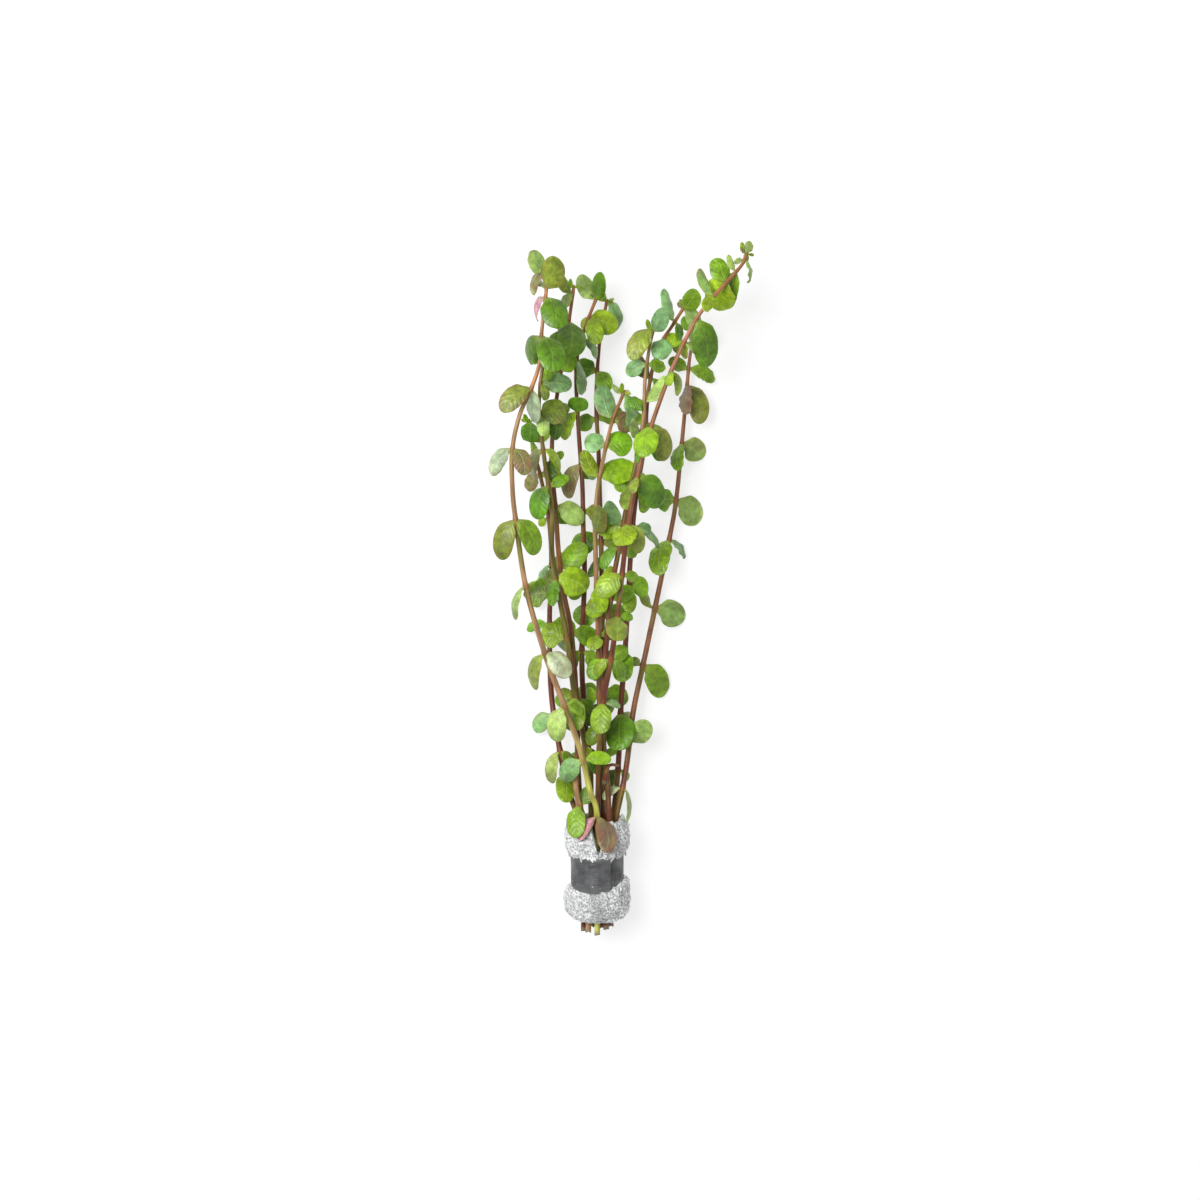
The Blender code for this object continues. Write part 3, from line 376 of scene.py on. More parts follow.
            (202.3, (182, 8.6, 7, "blue"), (100, 6.4, 5, "lime")),
            (208.3, (350, 12, 4, "blue"), (165, 7, 3, "dark")),
            (213.3, (28, 10, 6.5, "green"), (149, 9.6, 5.5, "pale")),
        ],
    },
    "front_right": {
        "slot": (INNER_RING, 90),
        "cut": -14.4,
        "route": [
            (0.4, 41.3, 16.5), (0.7, 55.3, 19), (2.2, 73.3, 21.5), (4.9, 88.3, 24), (7.4, 106.3, 26.2),
            (8.8, 119.3, 27.6),
            (11, 137.8, 29.4), (14, 153.8, 30.6), (19, 172.3, 31.6), (25.8, 191.3, 32.2), (30.2, 201.3, 32.4),
            (35.4, 210.8, 32.2), (40.6, 217.3, 32), (46, 223.3, 31.4), (50.4, 228.3, 30.6), (52.4, 232.8, 29.6),
        ],
        "pairs": [
            (72.3, (188, 12, 7.4, "green"), (98, 7, 2.4, "blue")),
            (88.3, (150, 9, 4, "green"), (225, 8, 4, "lime")),
            (104.3, (180, 10.6, 8, "olive"), (100, 6, 3, "green")),
            (119.3, (222, 11, 8, "lime"), (110, 6, 4, "green")),
            (137.3, (194, 10.2, 8.4, "lime", 6), (160, 10.8, 5.4, "olive")),
            (154.3, (146, 14, 9, "dark"), (198, 8, 3, "olive")),
            (171.8, (194, 13, 8.4, "lime", 6), (163, 13.6, 7, "olive")),
            (191.3, (196, 8, 2.6, "lime", 10), (160, 9.6, 3, "lime")),
            (201.3, (188, 8, 3, "olive"), (120, 8, 3, "pale")),
            (209.3, (172, 17.4, 9, "dark", 4), (190, 12.5, 2.6, "pale")),
            (217.3, (340, 10.5, 3.8, "pale"), (210, 8, 4, "lime")),
            (222.3, (345, 8.8, 7, "green"), (202, 14, 11.4, "lime", 4)),
            (225.8, (344, 6.2, 2.6, "pale"), (191, 13.4, 5, "green")),
            (229.8, (160, 8.8, 1.6, "pale"), (250, 4, 2, "pale")),
            (232.3, (5, 5, 3, "pale"), (190, 4, 2, "green")),
        ],
    },
    "right": {
        "slot": (OUTER_RING, 10),
        "cut": -12.2,
        "route": [
            (9.6, 41.3, 11.8), (11.2, 51.3, 10.4), (13.2, 67.3, 8), (16.6, 83.3, 6), (21, 104.3, 4.6),
            (26.1, 129.3, 4),
            (28.6, 143.8, 3.8), (30.6, 164.3, 3.8), (32.4, 185.3, 4.2), (33.4, 196.3, 5), (35.4, 206.3, 6),
        ],
        "pairs": [
            (39.3, (165, 13, 1.5, "pale", 10), (246, 8.6, 2.6, "white", 30)),
            (56.3, (32, 12, 7.6, "pale"), (290, 5, 3, "green")),
            (83.6, (150, 14.8, 8.6, "green"), (306, 5, 3.4, "pale")),
            (104.3, (118, 12, 9.4, "pale"), (345, 12, 3.4, "olive")),
            (129.3, (134, 9.6, 2.4, "blue"), (203, 16.5, 7, "green")),
            (143.8, (138, 12.6, 9.2, "pale"), (262, 8, 8, "green")),
            (164.3, (128, 9.6, 8.6, "pale"), (203, 12.6, 4, "green")),
            (185.3, (166, 15, 7.6, "olive"), (190, 14, 2.2, "plum")),
            (191.3, (113, 11, 5, "green"), (300, 8, 5, "green")),
            (199.3, (60, 8, 5, "green"), (260, 7, 5, "green")),
            (205.3, (115, 8, 4, "pale"), (330, 6, 5, "green")),
        ],
    },
    "back_left": {
        "slot": (OUTER_RING, 170),
        "cut": -13.7,
        "route": [
            (-10.4, 38.3, 11), (-13.4, 51.3, 8.6), (-16.8, 73.3, 5), (-17.4, 100.3, 3.8), (-16.6, 118.3, 3.6),
            (-17.6, 137.3, 3.6),
            (-20.4, 151.8, 3.7), (-23.2, 163.3, 4), (-24.6, 173.3, 4.6),
        ],
        "pairs": [
            (44.3, (174, 13, 7, "green", 8), (100, 5, 3, "dark")),
            (52.3, (184, 12.4, 4.4, "pale"), (150, 10, 4, "green")),
            (65.3, (226, 10, 6, "blue"), (110, 10, 7, "green")),
            (98.3, (262, 9.4, 3.6, "green"), (110, 10, 7, "green")),
            (109.3, (262, 9.8, 9.4, "green"), (70, 8, 5, "green")),
            (120.3, (197, 10, 2.4, "blue"), (70, 9, 6, "green")),
            (137.3, (225, 4.5, 3, "lime"), (90, 10, 6, "green")),
            (153.3, (215, 8, 5, "red"), (110, 9, 6, "green")),
            (165.3, (165, 8, 2.2, "lime"), (50, 8, 5, "green")),
            (172.3, (350, 7, 4, "green"), (174, 9.8, 6.4, "dark")),
        ],
    },
    "broken": {
        "slot": (OUTER_RING, 130),
        "cut": -13.6,
        "route": [(-7.2, 37.3, 18.5), (-8, 47.8, 19.5)],
        "pairs": [(34.3, (187, 12.6, 7, "green", 12), (20, 7, 5, "green"))],
    },
}

print(f"{len(SHOOTS)} stems, {sum(len(p) - 1 for s in SHOOTS.values() for p in s['pairs'])} leaves")

# %% [markdown]
# A stem's route is a handful of points, and a Catmull-Rom curve runs smoothly through all of them; a Bezier curve
# would need handles that the table doesn't have. Inside the foam the stems keep their places on two rings, drawn
# together at the strip and spreading above and below it.

# %% Routes of the stems
SPREAD_AT_CUT = 1.3
SPREAD = [(-6, 1.22), (4, 1.0), (11, 1.0), (20, 1.38), (27, 1.68)]  # (y, times as wide as packed)
STEM_RADIUS, TIP_RADIUS, NODE_SWELL = 1.0, 0.55, 1.22
TAPER_FROM, TAPER_POWER = 60.0, 1.6


def smooth_line(points, steps=8):
    """A Catmull-Rom curve through the points: each span blends its two ends and the slopes to their neighbours."""
    p = np.array(points, float)
    p = np.vstack([2 * p[0] - p[1], p, 2 * p[-1] - p[-2]])
    t = np.linspace(0, 1, steps, endpoint=False)[:, None]
    spans = []
    for a, b, c, d in zip(p[:-3], p[1:-2], p[2:-1], p[3:]):
        spans.append(
            0.5 * (2 * b + (c - a) * t + (2 * a - 5 * b + 4 * c - d) * t**2 + (3 * b - a - 3 * c + d) * t**3)
        )
    return np.vstack([*spans, p[-2:-1]])


def in_bundle(slot, spread, y):
    """A stem's place where the bundle is spread to this many times its packed width."""
    radius, degrees = slot
    angle = math.radians(degrees)
    return (spread * radius * math.cos(angle), y, SLEEVE_AXIS_Z + spread * radius * math.sin(angle))


def stem_line(shoot):
    """The held part through the foam, from the cut end up, followed by the free route."""
    held = [in_bundle(shoot["slot"], spread, y) for y, spread in [(shoot["cut"], SPREAD_AT_CUT), *SPREAD]]
    return smooth_line(held + shoot["route"])


def at_height(line, y):
    """The point of a line at this y, and the line's direction there."""
    i = min(int(np.searchsorted(line[:, 1], y)), len(line) - 1)
    low, high = line[i - 1], line[i]
    share = min(1.0, (y - low[1]) / (high[1] - low[1]))
    along = high - low
    return low + share * along, along / np.linalg.norm(along)


def stem_radius(shoot, y):
    """The full radius up to y = 60, then less with the 1.6th power of the way to the tip."""
    top = shoot["route"][-1][1]
    share = np.maximum(0.0, (y - TAPER_FROM) / (top - TAPER_FROM)) if top > TAPER_FROM else 0.0 * y
    return STEM_RADIUS + (TIP_RADIUS - STEM_RADIUS) * share**TAPER_POWER


lines = {name: stem_line(shoot) for name, shoot in SHOOTS.items()}
print({name: round(float(np.linalg.norm(np.diff(line, axis=0), axis=1).sum())) for name, line in lines.items()}, "mm")

# %% [markdown]
# ## Where the leaves go
#
# A leaf's pose is three directions: along its midrib, to its side, and out of its face. The photograph gives the
# heading and the width that shows; a leaf that shows narrow is turned about its midrib, its outer edge down. The
# midrib bends sideways up and over and then hangs, the blade domes across, and what would reach through the table
# bends flat along it, as a soft leaf does.

# %% A leaf's pose and its blade
LEAST_WIDTH, SEEN_SLACK = 0.5, 1.06
LEAF_CURL, LEAF_DOME, LEAF_ARCH = 0.14, 0.16, 0.11
OUTLINE_SHIFT, OUTLINE_FULL, OUTLINE_ROUND = 0.92, 2.3, 0.48
ARCH_TURN, ARCH_ONSET = 2.0, 3.0
LIFT_ACROSS, LIFT_OVER, COVER_POWER = -7.0, 23.0, 6
SIDE_BASE, FRONT_BASE = 0.75, 1.1
LEAF_GAP = 0.3
FLOOR_SOFT, FLOOR_Z = 1.0, 0.2


def off_floor(points):
    """Heights under FLOOR_SOFT die away exponentially towards FLOOR_Z."""
    low = FLOOR_Z + (FLOOR_SOFT - FLOOR_Z) * np.exp(np.minimum(points[..., 2] - FLOOR_SOFT, 0) / (FLOOR_SOFT - FLOOR_Z))
    return np.concatenate([points[..., :2], np.where(points[..., 2] > FLOOR_SOFT, points[..., 2], low)[..., None]], -1)


def unit(vectors):
    """Each vector divided by its length."""
    return vectors / np.linalg.norm(vectors, axis=-1, keepdims=True)


def towards(heading, lift):
    """The unit vector (sin h cos e, cos h cos e, sin e) of a heading h raised by a lift e."""
    h, e = math.radians(heading), math.radians(lift)
    return np.array([math.sin(h) * math.cos(e), math.cos(h) * math.cos(e), math.sin(e)])


def leaf_axes(along, turn):
    """The midrib, a level side and an upper face square to it, with the last two turned about the midrib."""
    flat = unit(np.array([along[1], -along[0], 0.0]))
    up = np.cross(flat, along)
    r = math.radians(turn)
    return along, flat * math.cos(r) + up * math.sin(r), up * math.cos(r) - flat * math.sin(r)


def half_width(t):
    """The outline of a round leaf, 0 at base and tip and 1 at its widest: (1 - |2 t^0.92 - 1|^2.3)^0.48."""
    return np.maximum(0.0, 1 - np.abs(2 * t**OUTLINE_SHIFT - 1) ** OUTLINE_FULL) ** OUTLINE_ROUND


def blade_points(leaf, t, v):
    """A midrib that bows sideways by 4 bend t (1 - t), v * half width across it, and curl * t^2 + dome * v^2 down."""
    along, side, _ = leaf["axes"]
    length, bend = leaf["length"], leaf["bend"]
    run = unit(along + np.outer(4 * bend * (1 - 2 * t), leaf["flat"]))
    across = unit(side - (run @ side)[:, None] * run)
    half = 0.5 * leaf["width"] * half_width(t)
    height = -LEAF_CURL * length * t**2 - LEAF_DOME * half * v**2
    middle = leaf["base"] + np.outer(t * length, along) + np.outer(4 * bend * length * t * (1 - t), leaf["flat"])
    return middle + (v * half)[:, None] * across + height[:, None] * np.cross(across, run)


def first_leaf(shoot, line, y, spec):
    """A leaf as the table gives it, with the point and the direction of its stem."""
    heading, length, seen, tone, *lift = spec
    centre, along = at_height(line, y)
    return {
        "centre": centre, "stem": along, "heading": heading, "seen": seen, "full": length, "tone": tone,
        "lift": sum(lift), "radius": stem_radius(shoot, y) * NODE_SWELL,
    }


def shaped(leaf, change):
    """The leaf's pose after a small change. `in_line` is the squared cosine between leaf and stem: a leaf that
    covers its stem is lifted and sits in front of it, one that lies beside it sits on its side."""
    swing, lift, turn, size = change
    heading = leaf["heading"] + swing
    width = max(LEAST_WIDTH * leaf["full"], SEEN_SLACK * leaf["seen"])
    h = math.radians(heading)
    outward = 1 if math.sin(h) >= 0 else -1
    in_line = float(towards(heading, 0) @ leaf["stem"]) ** 2
    over = in_line**COVER_POWER
    aim = towards(heading, LIFT_ACROSS + LIFT_OVER * over + leaf["lift"] + lift)
    away = aim + np.array([SIDE_BASE * outward * (in_line - over), 0.0, FRONT_BASE * over])
    away = unit(away - (away @ leaf["stem"]) * leaf["stem"])
    base = leaf["centre"] + away * (leaf["radius"] + LEAF_GAP)
    chord = leaf["centre"] + aim * leaf["full"] * size - base
    turn += math.degrees(math.acos(leaf["seen"] / width))
    axes = leaf_axes(unit(chord), turn * outward)
    hang = np.clip(ARCH_TURN * math.cos(h) - 1, -1, 1) * np.clip(ARCH_ONSET * math.sin(h), -1, 1)
    flat = unit(np.array([axes[0][1], -axes[0][0], 0.0]))
    return {
        **leaf, "axes": axes, "away": away, "base": base, "length": float(np.linalg.norm(chord)),
        "width": width * size, "flat": flat, "bend": LEAF_ARCH * hang,
    }


# %% [markdown]
# Real leaves push each other aside, but nothing in a script stops two surfaces from passing through each other.
# So the leaves are placed one by one, the highest and broadest first, and each tries its own pose, then ever
# bigger changes of heading, lift, turn and size, until a tree of triangles says that it touches nothing. A physics
# simulation would settle them more truly, but it would also move them away from where the photograph shows them.

# %% Place every leaf
LEAF_THICK = 0.4
AREA_PRIORITY = 0.08
LOWEST_BLADE = -1.2
TEST_ROWS = np.array([0.14, 0.48, 0.84])
SLEEVE_OUTER = [
    (-9.0, 7.6), (-8.3, 9.0), (-6.6, 10.6), (-4.2, 11.6), (-1.4, 12.0), (0.5, 11.6), (1.3, 10.4), (1.8, 8.7),
    (3.4, 8.5), (15.2, 8.5), (16.0, 9.6), (17.4, 10.9), (20.0, 11.6), (24.0, 11.5), (26.4, 10.8), (27.5, 9.6),
]  # (y, radius) of the foam from the cut ends up
SLEEVE_BORE = [(27.5, 8.3), (24.0, 7.5), (18.0, 6.2), (13.0, 5.5), (3.0, 5.5), (-4.0, 6.2), (-9.0, 6.9)]


SAME_CHANGE = (6, 14, 16, 0.07)  # a swing, a lift, a turn and a loss of size that count as equal changes


YOUNG_BELOW_TIP = 0.8
YOUNG = [(-24, 4.2, 1.6, "lime", 10), (30, 3.6, 1.5, "pale", -6), (-70, 3.0, 1.4, "red", 20), (84, 2.6, 1.2, "lime", 30)]


def mildness(change):
    """How much a change alters a leaf: the sum of its four parts, each over the amount that counts as one."""
    swing, lift, turn, size = np.abs(np.subtract(change, (0, 0, 0, 1.0))) / SAME_CHANGE
    return swing + lift + turn + size


CHANGES = sorted(
    product((0, 6, -6, 14, -14), (0, 8, -8, 16, -16, 26, -26, 38, -38), (0, 14, -14, 30), (1.0, 0.9, 0.78)),
    key=mildness,
)


def test_sheet(leaf, half_thick):
    """Three layers of the blade, its middle and its two faces, each a base point, rows of three points and a tip."""
    t = np.concatenate([[0.0], np.repeat(TEST_ROWS, 3), [1.0]])
    v = np.concatenate([[0.0], np.tile([-1.0, 0.0, 1.0], 3), [0.0]])
    sheet = off_floor(blade_points(leaf, t, v))
    faces = [(0, 2, 1), (0, 3, 2), (1, 2, 5, 4), (2, 3, 6, 5), (4, 5, 8, 7), (5, 6, 9, 8), (7, 8, 10), (8, 9, 10)]
    up = leaf["axes"][2] * half_thick
    return np.vstack([sheet, sheet + up, sheet - up]), [tuple(i + 11 * k for i in f) for k in range(3) for f in faces]


def too_low(leaf):
    """Whether so much of a blade would be under the table that it could not bend flat."""
    t = np.array([0.5, 0.5, 0.8, 0.8, 1.0])
    return blade_points(leaf, t, np.array([-1.0, 1.0, -1.0, 1.0, 0.0]))[:, 2].min() < LOWEST_BLADE


def stem_hull(line, radius, sides=6):
    """Rings of six points round the line, with side = direction x Z and top = side x direction."""
    along = np.gradient(line, axis=0)
    along /= np.linalg.norm(along, axis=1)[:, None]
    side = np.cross(along, (0.0, 0.0, 1.0))
    side /= np.linalg.norm(side, axis=1)[:, None]
    top = np.cross(side, along)
    angle = np.arange(sides) * math.tau / sides
    ring = np.cos(angle)[None, :, None] * side[:, None] + np.sin(angle)[None, :, None] * top[:, None]
    faces = [(k * sides + i, k * sides + (i + 1) % sides, (k + 1) * sides + (i + 1) % sides, (k + 1) * sides + i)
             for k in range(len(line) - 1) for i in range(sides)]
    return (line[:, None] + radius[:, None, None] * ring).reshape(-1, 3), faces


def sleeve_hull(steps=20):
    """The foam's closed outline turned about its axis: x = r cos a, z = axis + r sin a."""
    p = np.array(SLEEVE_OUTER + SLEEVE_BORE)
    angle = np.arange(steps)[:, None] * math.tau / steps
    points = np.stack([p[:, 1] * np.cos(angle), p[:, 0] + 0 * angle, SLEEVE_AXIS_Z + p[:, 1] * np.sin(angle)], -1)
    n = len(p)
    faces = [(k * n + i, k * n + (i + 1) % n, (k + 1) % steps * n + (i + 1) % n, (k + 1) % steps * n + i)
             for k in range(steps) for i in range(n)]
    return points.reshape(-1, 3), faces


def solid(points, faces):
    """What a leaf is tested against: the lowest and highest corner of the points, and a tree of the faces."""
    return points.min(axis=0), points.max(axis=0), BVHTree.FromPolygons([Vector(p) for p in points], faces)


def hulls():
    """What no leaf may touch: the foam and every stem at the width of its nodes."""
    widths = {name: stem_radius(shoot, lines[name][:, 1]) * NODE_SWELL for name, shoot in SHOOTS.items()}
    return [solid(*sleeve_hull())] + [solid(*stem_hull(lines[name], width)) for name, width in widths.items()]


def place(waiting, fixed):
    """Each leaf in its final pose: the mildest change that keeps it clear of all that is placed already."""
    placed = []
    for leaf in sorted(waiting, key=lambda leaf: -leaf["centre"][2] - leaf["full"] * leaf["seen"] * AREA_PRIORITY):
        for change in CHANGES:
            trial = shaped(leaf, change)
            if too_low(trial):
                continue
            low, high, tree = solid(*test_sheet(trial, LEAF_THICK / 2 + LEAF_GAP))
            near = [f for f in fixed if not ((low > f[1]).any() or (f[0] > high).any())]
            if not any(tree.overlap(other) for _, _, other in near):
                fixed.append(solid(*test_sheet(trial, LEAF_THICK / 2)))
                placed.append({**trial, "change": change})
                break
    return placed


def place_leaves():
    """All the leaves of the table, and then the young ones at the tips where there is room."""
    fixed = hulls()
    old, young = [], []
    for name, shoot in SHOOTS.items():
        for pair, (y, *specs) in enumerate(shoot["pairs"]):
            for side, spec in enumerate(specs):
                leaf = first_leaf(shoot, lines[name], y, spec)
                old.append({**leaf, "shoot": name, "name": f"{name}_{pair + 1:02d}_{'ab'[side]}"})
        tip = lines[name][-1][1] - YOUNG_BELOW_TIP
        _, along = at_height(lines[name], tip)
        heads = math.degrees(math.atan2(along[0], along[1]))
        for k, (swing, length, seen, tone, lift) in enumerate(YOUNG if name != "broken" else []):
            leaf = first_leaf(shoot, lines[name], tip, (heads + swing, length, seen, tone, lift))
            young.append({**leaf, "radius": TIP_RADIUS, "shoot": name, "name": f"{name}_tip_{k}"})
    placed = place(old, fixed)
    return placed + place(young, fixed)


leaves = place_leaves()
single = [leaf for leaf in leaves if f"leaf_{leaf['name']}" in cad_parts]
print(f"{len(leaves)} leaves placed, {len(single)} of them stand for parts of their own")

# %% [markdown]
# ## Building materials from steps
#
# A finish is a small graph of nodes. Written out node by node it would run to hundreds of lines, so one helper adds
# a node and joins its inputs in order, and a few short ones name the steps used again and again.

# %% Steps of a material


class Finish:
    """A material whose graph is built by calls; every call returns the output socket of the node it adds."""

    def __init__(self, name, **constants):
        self.material = bpy.data.materials.new(name)
        self.material.use_nodes = True
        self.tree = self.material.node_tree
        self.shader = self.tree.nodes["Principled BSDF"]
        self.place = self.tree.nodes.new("ShaderNodeTexCoord").outputs["Object"]
        for key, value in constants.items():
            self.shader.inputs[key.replace("_", " ")].default_value = value

    def add(self, kind, *inputs, out=0, **settings):
        """A node of this kind: each input is a number, a colour, another node's socket, or None to leave it."""
        made = self.tree.nodes.new(kind)
        for key, value in settings.items():
            setattr(made, key, value)
        for socket, value in zip(made.inputs, inputs):
            if isinstance(value, bpy.types.NodeSocket):
                self.tree.links.new(value, socket)
            elif value is not None:
                socket.default_value = value
        return made.outputs[out]

    def read(self, name, colour=False):
        """An attribute of the surface, as a number or as a colour."""
        return self.add("ShaderNodeAttribute", out="Color" if colour else "Fac", attribute_name=name)

    def math(self, operation, *inputs):
        return self.add("ShaderNodeMath", *inputs, operation=operation)

    def rise(self, value, low, high, bottom=0.0, top=1.0):
        """An S-curve from bottom at low to top at high."""
        return self.add("ShaderNodeMapRange", value, low, high, bottom, top, interpolation_type="SMOOTHSTEP")

    def noise(self, size_mm, detail=2.0, place=None):
        """Noise from 0 to 1 whose lumps are about this large."""
        return self.add("ShaderNodeTexNoise", place or self.place, None, 0.5 / (size_mm * MM), detail, 0.55)

    def mix(self, share, a, b, kind="MIX"):
        """Colour a going over to colour b, or the two multiplied or overlaid, by this share."""
        a, b = (x if isinstance(x, bpy.types.NodeSocket) else (*x, 1.0) for x in (a, b))
        return self.add("ShaderNodeMix", share, None, None, None, None, None, a, b, out=2, data_type="RGBA",
                        blend_type=kind)

    def bump(self, height, depth_mm, strength=1.0):
        """Leads a height from 0 to 1, this many mm deep, to the shader's normal."""
        made = self.tree.nodes.new("ShaderNodeBump")
        made.inputs["Strength"].default_value = strength
        made.inputs["Distance"].default_value = depth_mm * MM
        self.tree.links.new(height, made.inputs["Height"])
        self.tree.links.new(made.outputs[0], self.shader.inputs["Normal"])

    def lead(self, output, socket):
        self.tree.links.new(output, self.shader.inputs[socket])


print("finishes are built with", [name for name in vars(Finish) if not name.startswith("__")])

# %% [markdown]
# ## The stems
#
# A rotala stem is round, 2 mm thick, and swells at each node, where a pair of leaves sits. Just below a node it is
# olive green, and it ripens to rose or maroon red down to the next one; towards its tip it turns orange. The
# surface is a ring of 14 points carried along the route. A Blender curve with a bevel would give the tube, but not
# the swellings, the four faint ridges and the place within each joint, which the colour follows.

# %% Stem surface
RINGS_EVERY = 0.9
STEM_SIDES = 14
STEM_TINTS = {
    "olive": (0.16, 0.13, 0.025), "leaf": (0.21, 0.21, 0.04), "rose": (0.26, 0.115, 0.05),
    "beige": (0.36, 0.22, 0.11), "maroon": (0.15, 0.043, 0.02), "orange": (0.45, 0.19, 0.075),
    "straw": (0.50, 0.52, 0.10), "pink": (0.42, 0.17, 0.11),
}
SKINS = {
    "front_left": [(41, "straw"), (67, "beige"), (119, "beige"), (129, "leaf"), (139, "beige"), (181, "beige"),
                   (189, "orange"), (199, "beige"), (225, "orange")],
    "mid_left": [(3, "olive"), (183, "olive"), (201, "beige")],
    "inner_left": [(43, "maroon"), (103, "rose"), (127, "orange"), (139, "rose"), (193, "maroon"), (219, "orange")],
    "centre": [(3, "maroon"), (199, "maroon"), (217, "orange")],
    "underneath": [(3, "maroon"), (193, "maroon"), (215, "orange")],
    "middle": [(43, "maroon"), (83, "rose"), (133, "beige"), (161, "beige"), (173, "orange")],
    "right_back": [(3, "maroon"), (128, "maroon"), (153, "olive"), (175, "beige"), (205, "beige")],
    "right_inner": [(3, "maroon"), (168, "maroon"), (193, "rose"), (211, "orange")],
    "front_right": [(3, "maroon"), (105, "maroon"), (112, "olive"), (121, "maroon"), (168, "rose"), (188, "rose"),
                    (203, "pink"), (219, "orange"), (232, "rose")],
    "right": [(33, "maroon"), (73, "rose"), (183, "rose"), (205, "pink")],
    "back_left": [(3, "maroon"), (153, "maroon"), (173, "rose")],
    "broken": [(3, "beige"), (41, "beige"), (47, "pink")],
    "old_shoot": [(0, "maroon"), (50, "maroon")],
}  # (y, tint) up each stem
OLD_SHOOT = {"cut": 43.0, "route": [(2.6, 42, 16.6), (3.2, 46.5, 18.6), (4.6, 49.2, 19.2), (7.6, 48.4, 15.4)],
             "pairs": [(48.4,)]}  # a short arm that crosses from one stem to the next, without leaves


def frames_along(line, step):
    """Points every `step` mm of a line's length, with the direction, a level side and a top there."""
    length = np.concatenate([[0.0], np.cumsum(np.linalg.norm(np.diff(line, axis=0), axis=1))])
    where = np.linspace(0, length[-1], max(6, int(length[-1] / step)))
    centre = np.column_stack([np.interp(where, length, line[:, k]) for k in range(3)])
    along = np.gradient(centre, axis=0)
    along /= np.linalg.norm(along, axis=1)[:, None]
    side = np.cross(along, (0.0, 0.0, 1.0))
    side /= np.linalg.norm(side, axis=1)[:, None]
    return centre, along, side, np.cross(side, along)


def tint_at(stops, y):
    """The stem's colour at each y: every channel goes straight from one stop's to the next."""
    heights, names = zip(*stops)
    tints = np.array([STEM_TINTS[name] for name in names])
    return np.column_stack([np.interp(y, heights, tints[:, k]) for k in range(3)])


def stem_surface(name, shoot, line):
    """Rings of radius r * (1 + 0.2 * bell at each node) * (1 + ridges cos 4a + roughness), carried along the route."""
    centre, along, side, top = frames_along(line, RINGS_EVERY)
    y = centre[:, 1]
    nodes = np.array([pair[0] for pair in shoot["pairs"]])
    near = np.exp(-(((y[:, None] - nodes[None]) / 1.1) ** 2)).max(axis=1)
    stops = np.concatenate([[shoot["cut"]], nodes, [y[-1] + 6.0]])
    joint = np.clip(np.searchsorted(stops, y) - 1, 0, len(stops) - 2)
    within = (y - stops[joint]) / (stops[joint + 1] - stops[joint])
    angle = np.arange(STEM_SIDES) * math.tau / STEM_SIDES
    spot = np.stack([np.cos(angle) + 0 * y[:, None], np.sin(angle) + 0 * y[:, None], y[:, None] / 7 + 0 * angle], -1)
    streak = lumps(spot, 0.55, seed=len(name) + 31)
    radius = stem_radius(shoot, y) * (1 + 0.2 * near)
    end = ramp(y, y[-1] - 1.2, y[-1])
    radius = radius * (1 - 0.5 * end)
    radius = radius[:, None] * (1 + 0.03 * np.cos(4 * angle) + 0.025 * streak)
    rings = centre[:, None] + radius[..., None] * (
        np.cos(angle)[None, :, None] * side[:, None] + np.sin(angle)[None, :, None] * top[:, None]
    )
    torn = 0.55 * lumps(np.column_stack([np.cos(angle), np.sin(angle), 0 * angle]), 0.5, seed=len(name))
    rings[0] -= torn[:, None] * along[0]
    points = np.vstack([rings.reshape(-1, 3), centre[0] + 0.25 * along[0], centre[-1] + 0.25 * along[-1]])
    spread = lambda values, first: np.concatenate([np.repeat(values, STEM_SIDES), [first, values[-1]]])
    cut = 1 - ramp(y, y[0], y[0] + 2.2)
    tint = tint_at(SKINS[name], y)
    return points, {
        "tint": np.vstack([np.repeat(tint, STEM_SIDES, axis=0), tint[[0, -1]]]),
        "within": spread(within, 0.0), "near_node": spread(near, 0.0), "cut": spread(cut, 1.0),
        "streak": np.concatenate([streak.ravel(), [0.0, 0.0]]),
    }


# %% [markdown]
# The finish of a stem mixes three colours by those attributes: green under each node, the ripe red further down,
# and an orange brown ring at the node itself. Fine streaks run along it, as the fibres do under the skin.

# %% Stem finish


def stem_finish():
    """The tint of the place, greener at the top of each joint, browner at nodes and at the cut, with streaks."""
    skin = Finish("stem_skin", Roughness=0.38, Specular_IOR_Level=0.35, Subsurface_Weight=0.1, Subsurface_Scale=0.0008)
    tint = skin.read("tint", colour=True)
    green = skin.rise(skin.math("ADD", skin.read("within"), skin.math("MULTIPLY", skin.noise(6), 0.25)), 0.6, 1.15)
    base = skin.mix(skin.math("MULTIPLY", green, 0.55), tint, STEM_TINTS["leaf"])
    base = skin.mix(skin.math("MULTIPLY", skin.read("near_node"), 0.6), base, (0.26, 0.10, 0.035))
    streaks = skin.rise(skin.read("streak"), -0.7, 0.7, 0.68, 1.3)
    base = skin.mix(1.0, base, skin.add("ShaderNodeCombineColor", streaks, streaks, streaks), "MULTIPLY")
    base = skin.mix(skin.math("MULTIPLY", skin.noise(0.7), 0.35), base, (0.55, 0.33, 0.2), "SOFT_LIGHT")
    fibre = skin.mix(skin.rise(skin.noise(1.1, 3), 0.4, 0.6), (0.36, 0.25, 0.19), (0.22, 0.25, 0.13))
    base = skin.mix(skin.math("MULTIPLY", skin.read("cut"), 0.85), base, fibre)
    skin.lead(base, "Base Color")
    skin.bump(skin.math("ADD", skin.math("MULTIPLY", skin.read("streak"), 0.5), skin.noise(0.5, 3)), 0.14, 0.7)
    return skin.material


stem_skin = stem_finish()


